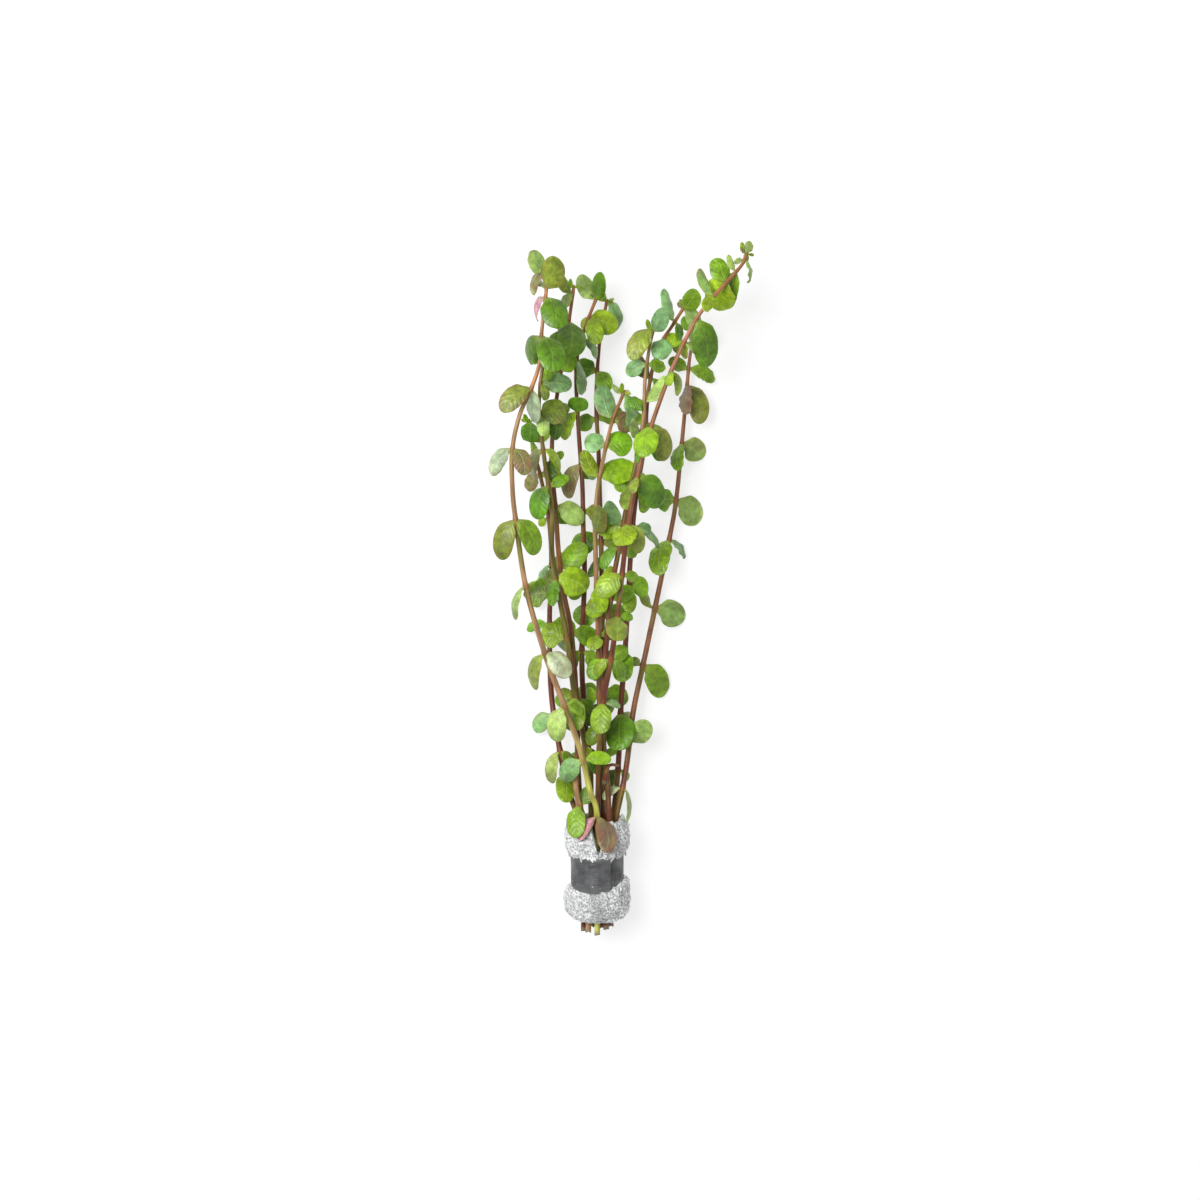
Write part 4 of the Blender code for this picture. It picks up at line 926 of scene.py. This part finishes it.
def build_stems():
    """One surface per stem, in place of the frame's stem, and one for the short arm."""
    made = []
    for name, shoot in [*SHOOTS.items(), ("old_shoot", OLD_SHOOT)]:
        line = lines[name] if name in lines else smooth_line(shoot["route"])
        points, attributes = stem_surface(name, shoot, line)
        faces = tube_faces((len(points) - 2) // STEM_SIDES, STEM_SIDES)
        piece = add_surface(f"stalk_{name}", points, faces, stem_skin, **attributes)
        made.append(settle(piece, "stem", *([f"stem_{name}"] if name in lines else [])))
    return made


stalks = build_stems()
print(f"{len(stalks)} stems, {sum(len(s.data.polygons) for s in stalks)} faces")

# %% [markdown]
# ## The leaves
#
# A leaf is a thin lens: a short round stalk that grows out of the node, a nearly round blade, a raised midrib
# underneath and five or six pairs of side veins. Young ones are yellow green, older ones deep green or flushed
# with red, and the undersides are pale and bluish; some leaves that lie in shadow have the darkest tone as painted
# shade. A flat plane with a cut-out picture would be quicker, but its edge has no thickness and its curl no volume.
# All the leaves are worked out in one go, as arrays over leaf, row and ring, and each row's ring runs once round the
# blade: v = cos a lies across it, and sin a is its upper side.

# %% Leaf surface
LEAF_ROWS, LEAF_RING = 19, 20
# the dark tone is the deep green of older leaves, and on some leaves that lie in shadow it is painted shade
TONES = {
    "green": (0.205, 0.37, 0.012), "dark": (0.105, 0.235, 0.008), "lime": (0.30, 0.46, 0.012),
    "olive": (0.24, 0.31, 0.030), "pale": (0.34, 0.50, 0.12), "blue": (0.23, 0.42, 0.15),
    "white": (0.48, 0.58, 0.34), "red": (0.27, 0.27, 0.08), "plum": (0.22, 0.16, 0.09), "pink": (0.65, 0.28, 0.38),
}
UNDERSIDE = (0.36, 0.48, 0.24)
SEEN_FROM_BELOW = {"pale", "blue", "white", "pink"}
LIKELY_RED = {"red": 0.9, "plum": 0.8, "olive": 0.45, "pink": 0.6, "white": 0.35, "pale": 0.25}
chance = np.random.default_rng(11)


def leaf_arrays(group):
    """Stacks the leaves' own numbers, each as an array with one entry per leaf that spreads over rows and rings."""
    column = lambda key: np.array([leaf[key] for leaf in group])
    axes = np.array([leaf["axes"] for leaf in group])
    spread = lambda a: a[:, None, None] if a.ndim == 1 else a[:, None, None, :]
    return {**{key: spread(column(key)) for key in ("length", "width", "base", "centre", "away", "radius", "wave",
                                                     "phase", "fold", "sickle", "droop", "flat", "bend")},
            "along": spread(axes[:, 0]), "side": spread(axes[:, 1])}


def leaf_surface(group):
    """Blade: the frame's blade plus a wavy margin, a fold at the midrib and a sideways sickle, thick where sin a
    is largest; near t = 0 the row narrows to the stalk, which is led back into the stem by (1 - t / 0.13)^2."""
    leaf = leaf_arrays(group)
    rows = np.linspace(0, 1, LEAF_ROWS + 2)
    t = (0.5 - 0.5 * np.cos(rows * math.pi))[None, :, None]
    angle = (np.arange(LEAF_RING) * math.tau / LEAF_RING)[None, None, :]
    v = np.sign(np.cos(angle)) * np.abs(np.cos(angle)) ** 1.25
    upper = np.sin(angle)
    stalk = 1 - ramp(t, 0.05, 0.2)
    half = 0.5 * leaf["width"] * half_width(t) * (1 - 0.3 * stalk)
    half = np.maximum(half, 0.42 * (1 - ramp(t, 0.0, 0.3)))
    height = -LEAF_CURL * leaf["length"] * t**2 - LEAF_DOME * half * v**2
    height += leaf["fold"] * half * np.abs(v) * t - leaf["droop"] * leaf["length"] * t**3
    height += leaf["wave"] * np.abs(v) ** 3 * np.sin(math.tau * (1.9 + 0.4 * leaf["phase"]) * t + leaf["phase"] + 2 * (v > 0))
    rib = 0.14 * np.exp(-((v / 0.16) ** 2)) * (1 - t)
    thick = (0.17 + 0.16 * stalk) * upper + np.where(upper < 0, -rib, -0.6 * rib)
    ease = np.maximum(0, 1 - t / 0.13) ** 2
    root = leaf["centre"] + leaf["away"] * leaf["radius"][..., None] * 0.4 - leaf["base"]
    run = unit(leaf["along"] + (4 * leaf["bend"] * (1 - 2 * t))[..., None] * leaf["flat"])
    across = unit(leaf["side"] - (run * leaf["side"]).sum(-1, keepdims=True) * run)
    points = (
        leaf["base"]
        + (t * leaf["length"])[..., None] * leaf["along"]
        + (4 * leaf["bend"] * leaf["length"] * t * (1 - t))[..., None] * leaf["flat"]
        + (v * half + leaf["sickle"] * leaf["length"] * t**2)[..., None] * across
        + (height + thick)[..., None] * np.cross(across, run)
        + ease[..., None] * root
    )
    ends = points[:, [0, -1]].mean(axis=2)
    points = off_floor(np.concatenate([points[:, 1:-1].reshape(len(group), -1, 3), ends], axis=1))
    full = (len(group), LEAF_ROWS, LEAF_RING)
    flat = lambda a, first, last: np.concatenate(
        [np.broadcast_to(a, full).reshape(len(group), -1), np.broadcast_to([first, last], (len(group), 2))], axis=1
    ).ravel()
    top = flat((upper > -0.01).astype(float), 1.0, 1.0)
    seen = np.repeat(np.array([leaf["seen_tone"] for leaf in group]), points.shape[1], axis=0)
    hidden = np.repeat(np.array([leaf["other_tone"] for leaf in group]), points.shape[1], axis=0)
    below = np.repeat(np.array([leaf["tone"] in SEEN_FROM_BELOW for leaf in group]), points.shape[1])
    each = lambda key: np.repeat(np.array([leaf[key] for leaf in group]), points.shape[1])
    return points.reshape(-1, 3), {
        "across": flat(v, 0.0, 0.0), "along": flat(t[:, 1:-1], 0.0, 1.0),
        "tone": np.where(top[:, None] > 0.5, seen, hidden), "upper": np.where(below, 1 - top, top),
        "red": each("red"), "seed": each("phase") / math.tau, "veins": each("veins"),
    }


# %% [markdown]
# Each leaf also gets its own small accidents, drawn from one seeded generator: how wavy its margin is, how it
# folds and droops, and how far its colour strays from its tone.

# %% Each leaf's own accidents


def with_accidents(leaf):
    """Adds wave, fold, droop and sickle as shares of the leaf's size, and tones of both sides a little off."""
    tone = np.array(TONES[leaf["tone"]])
    stray = 1 + chance.normal(0, 0.12) + chance.normal(0, 0.05, 3)
    other = 0.35 * tone + 0.65 * np.array(UNDERSIDE)
    if leaf["tone"] in SEEN_FROM_BELOW:
        other = np.array(TONES["green"])
    return {
        **leaf, "seen_tone": np.clip(tone * stray, 0, 1), "other_tone": np.clip(other * stray, 0, 1),
        "wave": abs(chance.normal(0.12, 0.14)), "phase": chance.uniform(0, math.tau),
        "fold": chance.normal(0.03, 0.09), "sickle": chance.normal(0, 0.02), "droop": abs(chance.normal(0, 0.04)),
        "red": LIKELY_RED.get(leaf["tone"], 0.0) + 0.4 * (chance.uniform() < 0.15),
        "veins": chance.uniform(0.1, 0.9),
    }


leaves = [with_accidents(leaf) for leaf in leaves]
single = [leaf for leaf in leaves if f"leaf_{leaf['name']}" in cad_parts]
print("length of a blade:", round(float(np.mean([leaf["length"] for leaf in leaves])), 1), "mm on average")

# %% [markdown]
# The finish of a leaf is drawn in its own coordinates: `across` is 0 on the midrib and 1 at the margin, and
# `along` runs from stalk to tip. A side vein is where along - 0.3 * across, times the number of veins, is a whole
# number. Veins are lighter than the skin and sunk above, raised below; between them the skin is puffed up.

# %% Leaf finish
VEIN_PAIRS = 5.5


def leaf_finish():
    """Tone, lighter veins, clouds and mottling, a red margin where `red` is high, and a waxy shine."""
    skin = Finish("leaf_skin", Roughness=0.35, Specular_IOR_Level=0.5, Subsurface_Weight=0.2,
                  Subsurface_Radius=(0.6, 1.0, 0.2), Subsurface_Scale=0.0008)
    across = skin.math("ABSOLUTE", skin.read("across"))
    along, upper, red = skin.read("along"), skin.read("upper"), skin.read("red")
    wobble = skin.math("MULTIPLY", skin.noise(2.2), 0.09)
    place = skin.math("ADD", skin.math("MULTIPLY_ADD", across, -0.30, along), wobble)
    line = skin.math("PINGPONG", skin.math("MULTIPLY_ADD", place, VEIN_PAIRS, skin.read("seed")), 0.5)
    side = skin.math("MULTIPLY", skin.rise(line, 0.02, 0.16, 1.0, 0.0), skin.rise(across, 0.7, 1.0, 0.8, 0.0))
    midrib = skin.rise(across, 0.02, 0.10, 1.0, 0.0)
    vein = skin.math("MAXIMUM", midrib, skin.math("MULTIPLY", side, 0.35))
    shown = skin.math("MULTIPLY", vein, skin.read("veins"))
    tone = skin.read("tone", colour=True)
    cloud = skin.math("MULTIPLY", skin.rise(skin.noise(4.5), 0.3, 0.7, 0.62, 1.25),
                      skin.rise(skin.noise(0.9, 4), 0.3, 0.7, 0.76, 1.22))
    base = skin.mix(1.0, tone, skin.add("ShaderNodeCombineColor", cloud, cloud, cloud), "MULTIPLY")
    base = skin.mix(skin.math("MULTIPLY", shown, 0.5), base, skin.mix(0.5, tone, (0.50, 0.64, 0.16)))
    base = skin.mix(skin.rise(along, 0.0, 0.2, 0.4, 0.0), base, (0.40, 0.50, 0.08))
    flush = skin.math("MULTIPLY", skin.rise(skin.math("ADD", across, skin.noise(3.0)), 1.0, 1.5), red)
    base = skin.mix(skin.math("MULTIPLY", flush, 0.6), base, (0.30, 0.11, 0.07))
    patches = skin.math("MULTIPLY", skin.rise(skin.noise(2.6, 3), 0.5, 0.64), red)
    base = skin.mix(skin.math("MULTIPLY", patches, 0.5), base, (0.25, 0.10, 0.08))
    skin.lead(base, "Base Color")
    skin.lead(skin.rise(skin.noise(1.6), 0.25, 0.75, 0.24, 0.5), "Roughness")
    sunk = skin.math("MULTIPLY", vein, skin.rise(upper, 0.4, 0.6, 0.5, -0.35))
    puffed = skin.rise(line, 0.0, 0.5, 0.0, 0.18)
    height = skin.math("ADD", skin.math("ADD", sunk, puffed), skin.math("MULTIPLY", skin.noise(0.9, 2), 0.55))
    skin.bump(height, 0.34, 0.9)
    return skin.material


leaf_skin = leaf_finish()


def build_leaves():
    """A piece for each leaf that has a part of its own, and one for the rest of each stem's leaves."""
    squares, fans = tube_faces(LEAF_ROWS, LEAF_RING)
    each = LEAF_ROWS * LEAF_RING + 2
    made = []
    for leaf in single:
        points, attributes = leaf_surface([leaf])
        piece = add_surface(f"blade_{leaf['name']}", points, (squares, fans), leaf_skin, **attributes)
        made.append(settle(piece, f"leaf_{leaf['tone']}", f"leaf_{leaf['name']}"))
    own = {leaf["name"] for leaf in single}
    for name in SHOOTS:
        group = [leaf for leaf in leaves if leaf["shoot"] == name and leaf["name"] not in own]
        if group:
            points, attributes = leaf_surface(group)
            faces = [repeated(part, len(group), each) for part in (squares, fans)]
            made.append(settle(add_surface(f"foliage_{name}", points, faces, leaf_skin, **attributes), "leaf_green"))
    return made


foliage = build_leaves()
print(f"{len(foliage)} leaf pieces, {sum(len(p.data.polygons) for p in foliage)} faces")

# %% [markdown]
# ## The foam sleeve
#
# The cuttings stand in a roll of coarse white foam, glassy and open, squeezed by the strip so that it swells above
# and below. Cloth with pressure could swell a pad, but it knows nothing of cells and torn strands, so the roll is a
# closed profile turned about its axis: the squeeze is in the profile, and three sizes of noise push the surface in
# and out along its normal. In front, where the rolled sheet meets itself, a gap stays open.

# %% Foam surface
STRIP_TOP_Y, STRIP_WIDTH, STRIP_DIP, STRIP_SKEW = 15.0, 10.1, 2.6, 1.3
FOAM_AROUND, FOAM_ROWS = 300, 300
FOAM_PROFILE = [
    (-9.2, 7.2), (-9.0, 8.8), (-7.2, 10.5), (-4.4, 11.6), (-1.4, 12.0), (0.6, 11.7), (1.7, 10.9), (2.3, 9.9),
    (2.5, 8.9), (4.0, 8.35), (9.0, 8.3), (14.2, 8.35), (15.1, 8.9), (14.9, 10.0), (15.8, 10.7), (17.8, 11.3),
    (20.5, 11.7), (24.0, 11.6), (26.6, 11.0), (27.9, 9.6), (27.6, 8.4), (24.0, 7.5), (18.0, 6.2), (13.0, 5.6),
    (3.0, 5.6), (-4.0, 6.2), (-8.6, 6.5),
]  # (y, radius), once round: up the outside, over the rim and back down the bore
GAP_ANGLE, GAP_BOTTOM = 87.0, 17.2


def strip_edge(angle):
    """The y of the strip's lower edge: it hangs lowest in front and climbs to the right."""
    return STRIP_TOP_Y - STRIP_WIDTH - STRIP_DIP * np.maximum(np.sin(angle), 0) + STRIP_SKEW * np.cos(angle)


def closed_curve(points, count):
    """Points evenly spaced along a closed Catmull-Rom curve."""
    p = np.array(points, float)
    around = smooth_line(np.vstack([p[-2:], p, p[:2]]), steps=12)[24:-12]
    length = np.concatenate([[0.0], np.cumsum(np.linalg.norm(np.diff(around, axis=0), axis=1))])
    where = np.linspace(0, length[-1], count, endpoint=False)
    return np.column_stack([np.interp(where, length, around[:, k]) for k in range(2)])


def foam_surface():
    """Profile normal times (lobes 5 mm + tufts 1.6 mm - cells 0.9 mm), less in the bore and under the strip."""
    profile = closed_curve(FOAM_PROFILE, FOAM_ROWS)
    tangent = np.roll(profile, -1, axis=0) - np.roll(profile, 1, axis=0)
    normal = np.column_stack([-tangent[:, 1], tangent[:, 0]])
    normal /= np.linalg.norm(normal, axis=1)[:, None]
    y, r = profile[None, :, 0], profile[None, :, 1]
    angle = (np.arange(FOAM_AROUND) * math.tau / FOAM_AROUND)[:, None]
    outside = ramp(r - 0.13 * np.abs(y - 9), 6.2, 7.2)
    pinch = np.exp(-(((y - 2.3) / 2.2) ** 2)) * ramp(y, -6.0, 1.0)
    y = y + pinch * (strip_edge(angle) - 2.3)
    held = ramp(y, strip_edge(angle) - 1.0, strip_edge(angle) + 0.4) * (1 - ramp(y, 14.4, 15.2)) * (r < 9.4)
    place = lambda y, r: np.stack([r * np.cos(angle), y + 0 * angle, SLEEVE_AXIS_Z + r * np.sin(angle)], axis=-1)
    rough = place(y, r)
    tuft = lumps(rough, 1.6, 3)
    push = 0.55 * lumps(rough, 5.0, 2) + 0.5 * tuft
    cell = pores(rough, 0.75, 5)
    push += 0.8 * (cell - 0.5) + 0.25 * lumps(rough, 0.45, 8)
    loose = (0.3 + 0.7 * outside) * (1 - 0.88 * held)
    rim = ramp(y, 24.0, 27.9)
    off = (np.degrees(angle) - GAP_ANGLE + 1.6 * lumps(rough * [0, 1, 0], 2.0, 9) + 180) % 360 - 180
    top = np.minimum(27.9, GAP_BOTTOM + np.maximum(0, np.abs(off) - 3.2) * 0.85)
    up = np.maximum(y - GAP_BOTTOM + 1.2, 0) / (27.9 - GAP_BOTTOM + 1.2)
    y_cut = np.where(y > GAP_BOTTOM - 1.2, GAP_BOTTOM - 1.2 + up * (top - GAP_BOTTOM + 1.2), y)
    ragged = 1.3 * lumps(rough * [1, 0.2, 1], 1.3, 12) * rim
    ragged = ragged - 1.7 * np.exp(-(((y - 15.2) / 1.1) ** 2)) * (r > 9.3) * ramp(lumps(rough * [1, 0, 1], 1.2, 14), 0, 0.7)
    points = place(y_cut + ragged + push * loose * normal[None, :, 0], r + push * loose * normal[None, :, 1])
    low = points[..., 2] < 0.5
    points[..., 2] = np.where(low, 0.5 * np.exp(np.minimum(points[..., 2] - 0.5, 0) / 0.5), points[..., 2])
    # painted shade: a grey stripe along the top middle of the roll, at its lower end
    shade_band = np.exp(-((points[..., 0] / 3.0) ** 2)) * (points[..., 2] > SLEEVE_AXIS_Z) * (y < 4)
    return points.reshape(-1, 3), {"cell": cell.ravel(), "shade_band": shade_band.ravel()}


def wrapped_faces(rows, around):
    """Squares of a grid that closes in both directions."""
    i, j = np.meshgrid(np.arange(rows), np.arange(around), indexing="ij")
    after = lambda k, n: (k + 1) % n
    return np.stack([i * around + j, i * around + after(j, around), after(i, rows) * around + after(j, around),
                     after(i, rows) * around + j], axis=-1).reshape(-1, 4)


# %% [markdown]
# The foam's finish is white where a strand stands out and painted grey shade in the cells, and lets some light through.
# Each strand has its own small glint, so the shine changes from spot to spot.

# %% Foam finish and piece


def foam_finish():
    """Pale strands over painted grey shade in the cells by the attribute `cell`, with grey clouds, a grey stripe of
    painted shade and glassy specks.
    """
    foam = Finish("foam", Roughness=0.4, Specular_IOR_Level=0.6, Subsurface_Weight=0.12, Subsurface_Scale=0.0008,
                  Subsurface_Radius=(1.0, 1.0, 1.0))
    grain = foam.noise(0.3, 3)
    # painted shade: the white foam goes grey where `cell` marks a pit pushed into the surface
    depth = foam.rise(foam.math("MULTIPLY_ADD", grain, 1.1, foam.read("cell")), 0.75, 1.3)
    base = foam.mix(depth, (0.40, 0.405, 0.41), (0.95, 0.955, 0.96))
    cloud = foam.rise(foam.noise(3.2, 3), 0.42, 0.68, 0.0, 0.4)
    # grey is random grey clouds plus the stripe of painted shade
    grey = foam.math("MULTIPLY_ADD", foam.read("shade_band"), 0.45, cloud)
    foam.lead(foam.mix(grey, base, (0.36, 0.37, 0.37)), "Base Color")
    foam.lead(foam.rise(grain, 0.35, 0.6, 0.5, 0.15), "Roughness")
    foam.bump(foam.math("ADD", grain, foam.noise(0.8, 2)), 0.55, 1.0)
    return foam.material


points, attributes = foam_surface()
sleeve = add_surface("foam_roll", points, [wrapped_faces(FOAM_AROUND, FOAM_ROWS)], foam_finish(), **attributes)
settle(sleeve, "foam", "foam_sleeve")
print(f"foam roll: {len(sleeve.data.polygons)} faces, sizes {[round(v, 1) for v in np.ptp(points, axis=0)]} mm")

# %% [markdown]
# ## The metal strip
#
# The strip is soft grey metal, 0.8 mm thick, wound once round the roll by hand: its lower edge smiles, its end laps
# over its start on the right, and it is dented and scuffed. A flat sheet with a Solidify modifier could be bent
# round, but its cut edges would stay sharp, so a rounded section is carried round a spiral instead.

# %% Strip surface
STRIP_THICK, STRIP_RADIUS, STRIP_LAP, STRIP_END = 0.8, 9.3, 38.0, 62.0
STRIP_RINGS, STRIP_SIDES = 260, 44


def strip_surface():
    """Rings of a rounded rectangle, |cos|^0.25 of the width by |sin|^0.25 of the thickness, round the spiral."""
    turns = np.linspace(0, 360 + STRIP_LAP, STRIP_RINGS)
    over = ramp(turns, 360 - STRIP_LAP * 0.6, 360)
    angle = np.radians(STRIP_END + 360 + STRIP_LAP - turns)[:, None]
    radius = (STRIP_RADIUS + (STRIP_THICK + LEAF_GAP) * over)[:, None]
    a = (np.arange(STRIP_SIDES) * math.tau / STRIP_SIDES)[None, :]
    box = lambda x: np.sign(x) * np.abs(x) ** 0.3
    low, high = strip_edge(angle), STRIP_TOP_Y
    y = (low + high) / 2 + (high - low) / 2 * box(np.cos(a))
    end = np.minimum(1, np.minimum(turns, turns[::-1]) / 1.2 + 0.25)[:, None]
    place = lambda r, y: np.stack([r * np.cos(angle), y, SLEEVE_AXIS_Z + r * np.sin(angle)], axis=-1)
    rough = place(radius + 0 * y, y)
    dents = 0.13 * lumps(rough, 4.5, 21) + 0.05 * lumps(rough, 1.1, 22)
    edges = np.abs(box(np.cos(a))) ** 6 * 0.22 * lumps(rough, 0.9, 23)
    points = place(radius + dents + 0.5 * STRIP_THICK * end * box(np.sin(a)), y + edges * np.sign(np.cos(a)))
    edge = np.broadcast_to(np.abs(box(np.cos(a))) ** 8, y.shape)
    ends = points[[0, -1]].mean(axis=1)
    return np.vstack([points.reshape(-1, 3), ends]), np.concatenate([edge.ravel(), [1.0, 1.0]])


def strip_finish():
    """Dull grey metal: cloudy oxide, scuffs that run round it, brighter where its edges are rubbed."""
    metal = Finish("soft_metal", Metallic=0.45, Roughness=0.5)
    round_it = metal.add("ShaderNodeMapping", metal.place, None, None, (1.0, 9.0, 1.0))
    scuffs = metal.rise(metal.noise(1.4, 4, round_it), 0.52, 0.72)
    base = metal.mix(metal.rise(metal.noise(3.0, 4), 0.3, 0.7), (0.065, 0.066, 0.07), (0.145, 0.147, 0.15))
    base = metal.mix(metal.math("MULTIPLY", scuffs, 0.5), base, (0.26, 0.26, 0.265))
    base = metal.mix(metal.math("MULTIPLY", metal.read("edge"), 0.5), base, (0.30, 0.30, 0.305))
    specks = metal.rise(metal.noise(0.45, 2), 0.68, 0.76)
    metal.lead(metal.mix(specks, base, (0.6, 0.6, 0.6)), "Base Color")
    metal.lead(metal.rise(metal.noise(1.8, 3), 0.3, 0.7, 0.36, 0.62), "Roughness")
    metal.bump(metal.math("ADD", metal.noise(0.8, 4), metal.math("MULTIPLY", scuffs, -0.5)), 0.12, 0.8)
    return metal.material


points, edge = strip_surface()
strip = add_surface("metal_strip", points, tube_faces(STRIP_RINGS, STRIP_SIDES), strip_finish(), edge=edge)
settle(strip, "strip", "weight_strip")
print(f"strip: {len(strip.data.polygons)} faces, sizes {[round(v, 1) for v in np.ptp(points, axis=0)]} mm")

# %% [markdown]
# ## Floor and light
#
# The picture is a product shot on white with hardly a shadow, as on a light table. A pale floor that glows a
# little under an even sky gives that, and one large lamp from the upper left models the leaves and puts the soft
# shine on them. Sunlight would be quicker to set up, but its shadows are hard.

# %% Floor and lamps


def build_stage():
    """A square floor of 4 m, just under the plant, and square lamps (place, side, watts) aimed at its middle."""
    edge = 2000.0
    corners = np.array([(-edge, -edge, 0.0), (edge, -edge, 0.0), (edge, edge, 0.0), (-edge, edge, 0.0)]) - [0, 0, 0.05]
    white = Finish("floor_white", Roughness=0.9, Specular_IOR_Level=0.1, Emission_Color=(1.0, 1.0, 1.0, 1.0),
                   Emission_Strength=0.72)
    grain = white.rise(white.noise(40.0), 0.3, 0.7, 0.29, 0.31)
    white.lead(white.add("ShaderNodeCombineColor", grain, grain, grain), "Base Color")
    add_surface("floor", corners, [np.array([[0, 1, 2, 3]])], white.material)
    for name, place, side, watts in [("key", (-420, 420, 900), 0.6, 11.0), ("fill", (600, -200, 800), 0.9, 1.2)]:
        data = bpy.data.lights.new(name, "AREA")
        data.size, data.energy = side, watts
        lamp = bpy.data.objects.new(name, data)
        aim = Vector((0, 105, 15)) - Vector(place)
        lamp.matrix_world = Matrix.Translation(Vector(place) * MM) @ aim.to_track_quat("-Z", "Y").to_matrix().to_4x4()
        bpy.context.scene.collection.objects.link(lamp)
    world = bpy.data.worlds.new("sky")
    world.use_nodes = True
    sky = world.node_tree.nodes["Background"]
    sky.inputs["Color"].default_value = (1.0, 1.0, 1.0, 1.0)
    sky.inputs["Strength"].default_value = 0.32
    bpy.context.scene.world = world
    bpy.context.scene.view_settings.view_transform = "Standard"


build_stage()
print("floor, two lamps and a white sky")
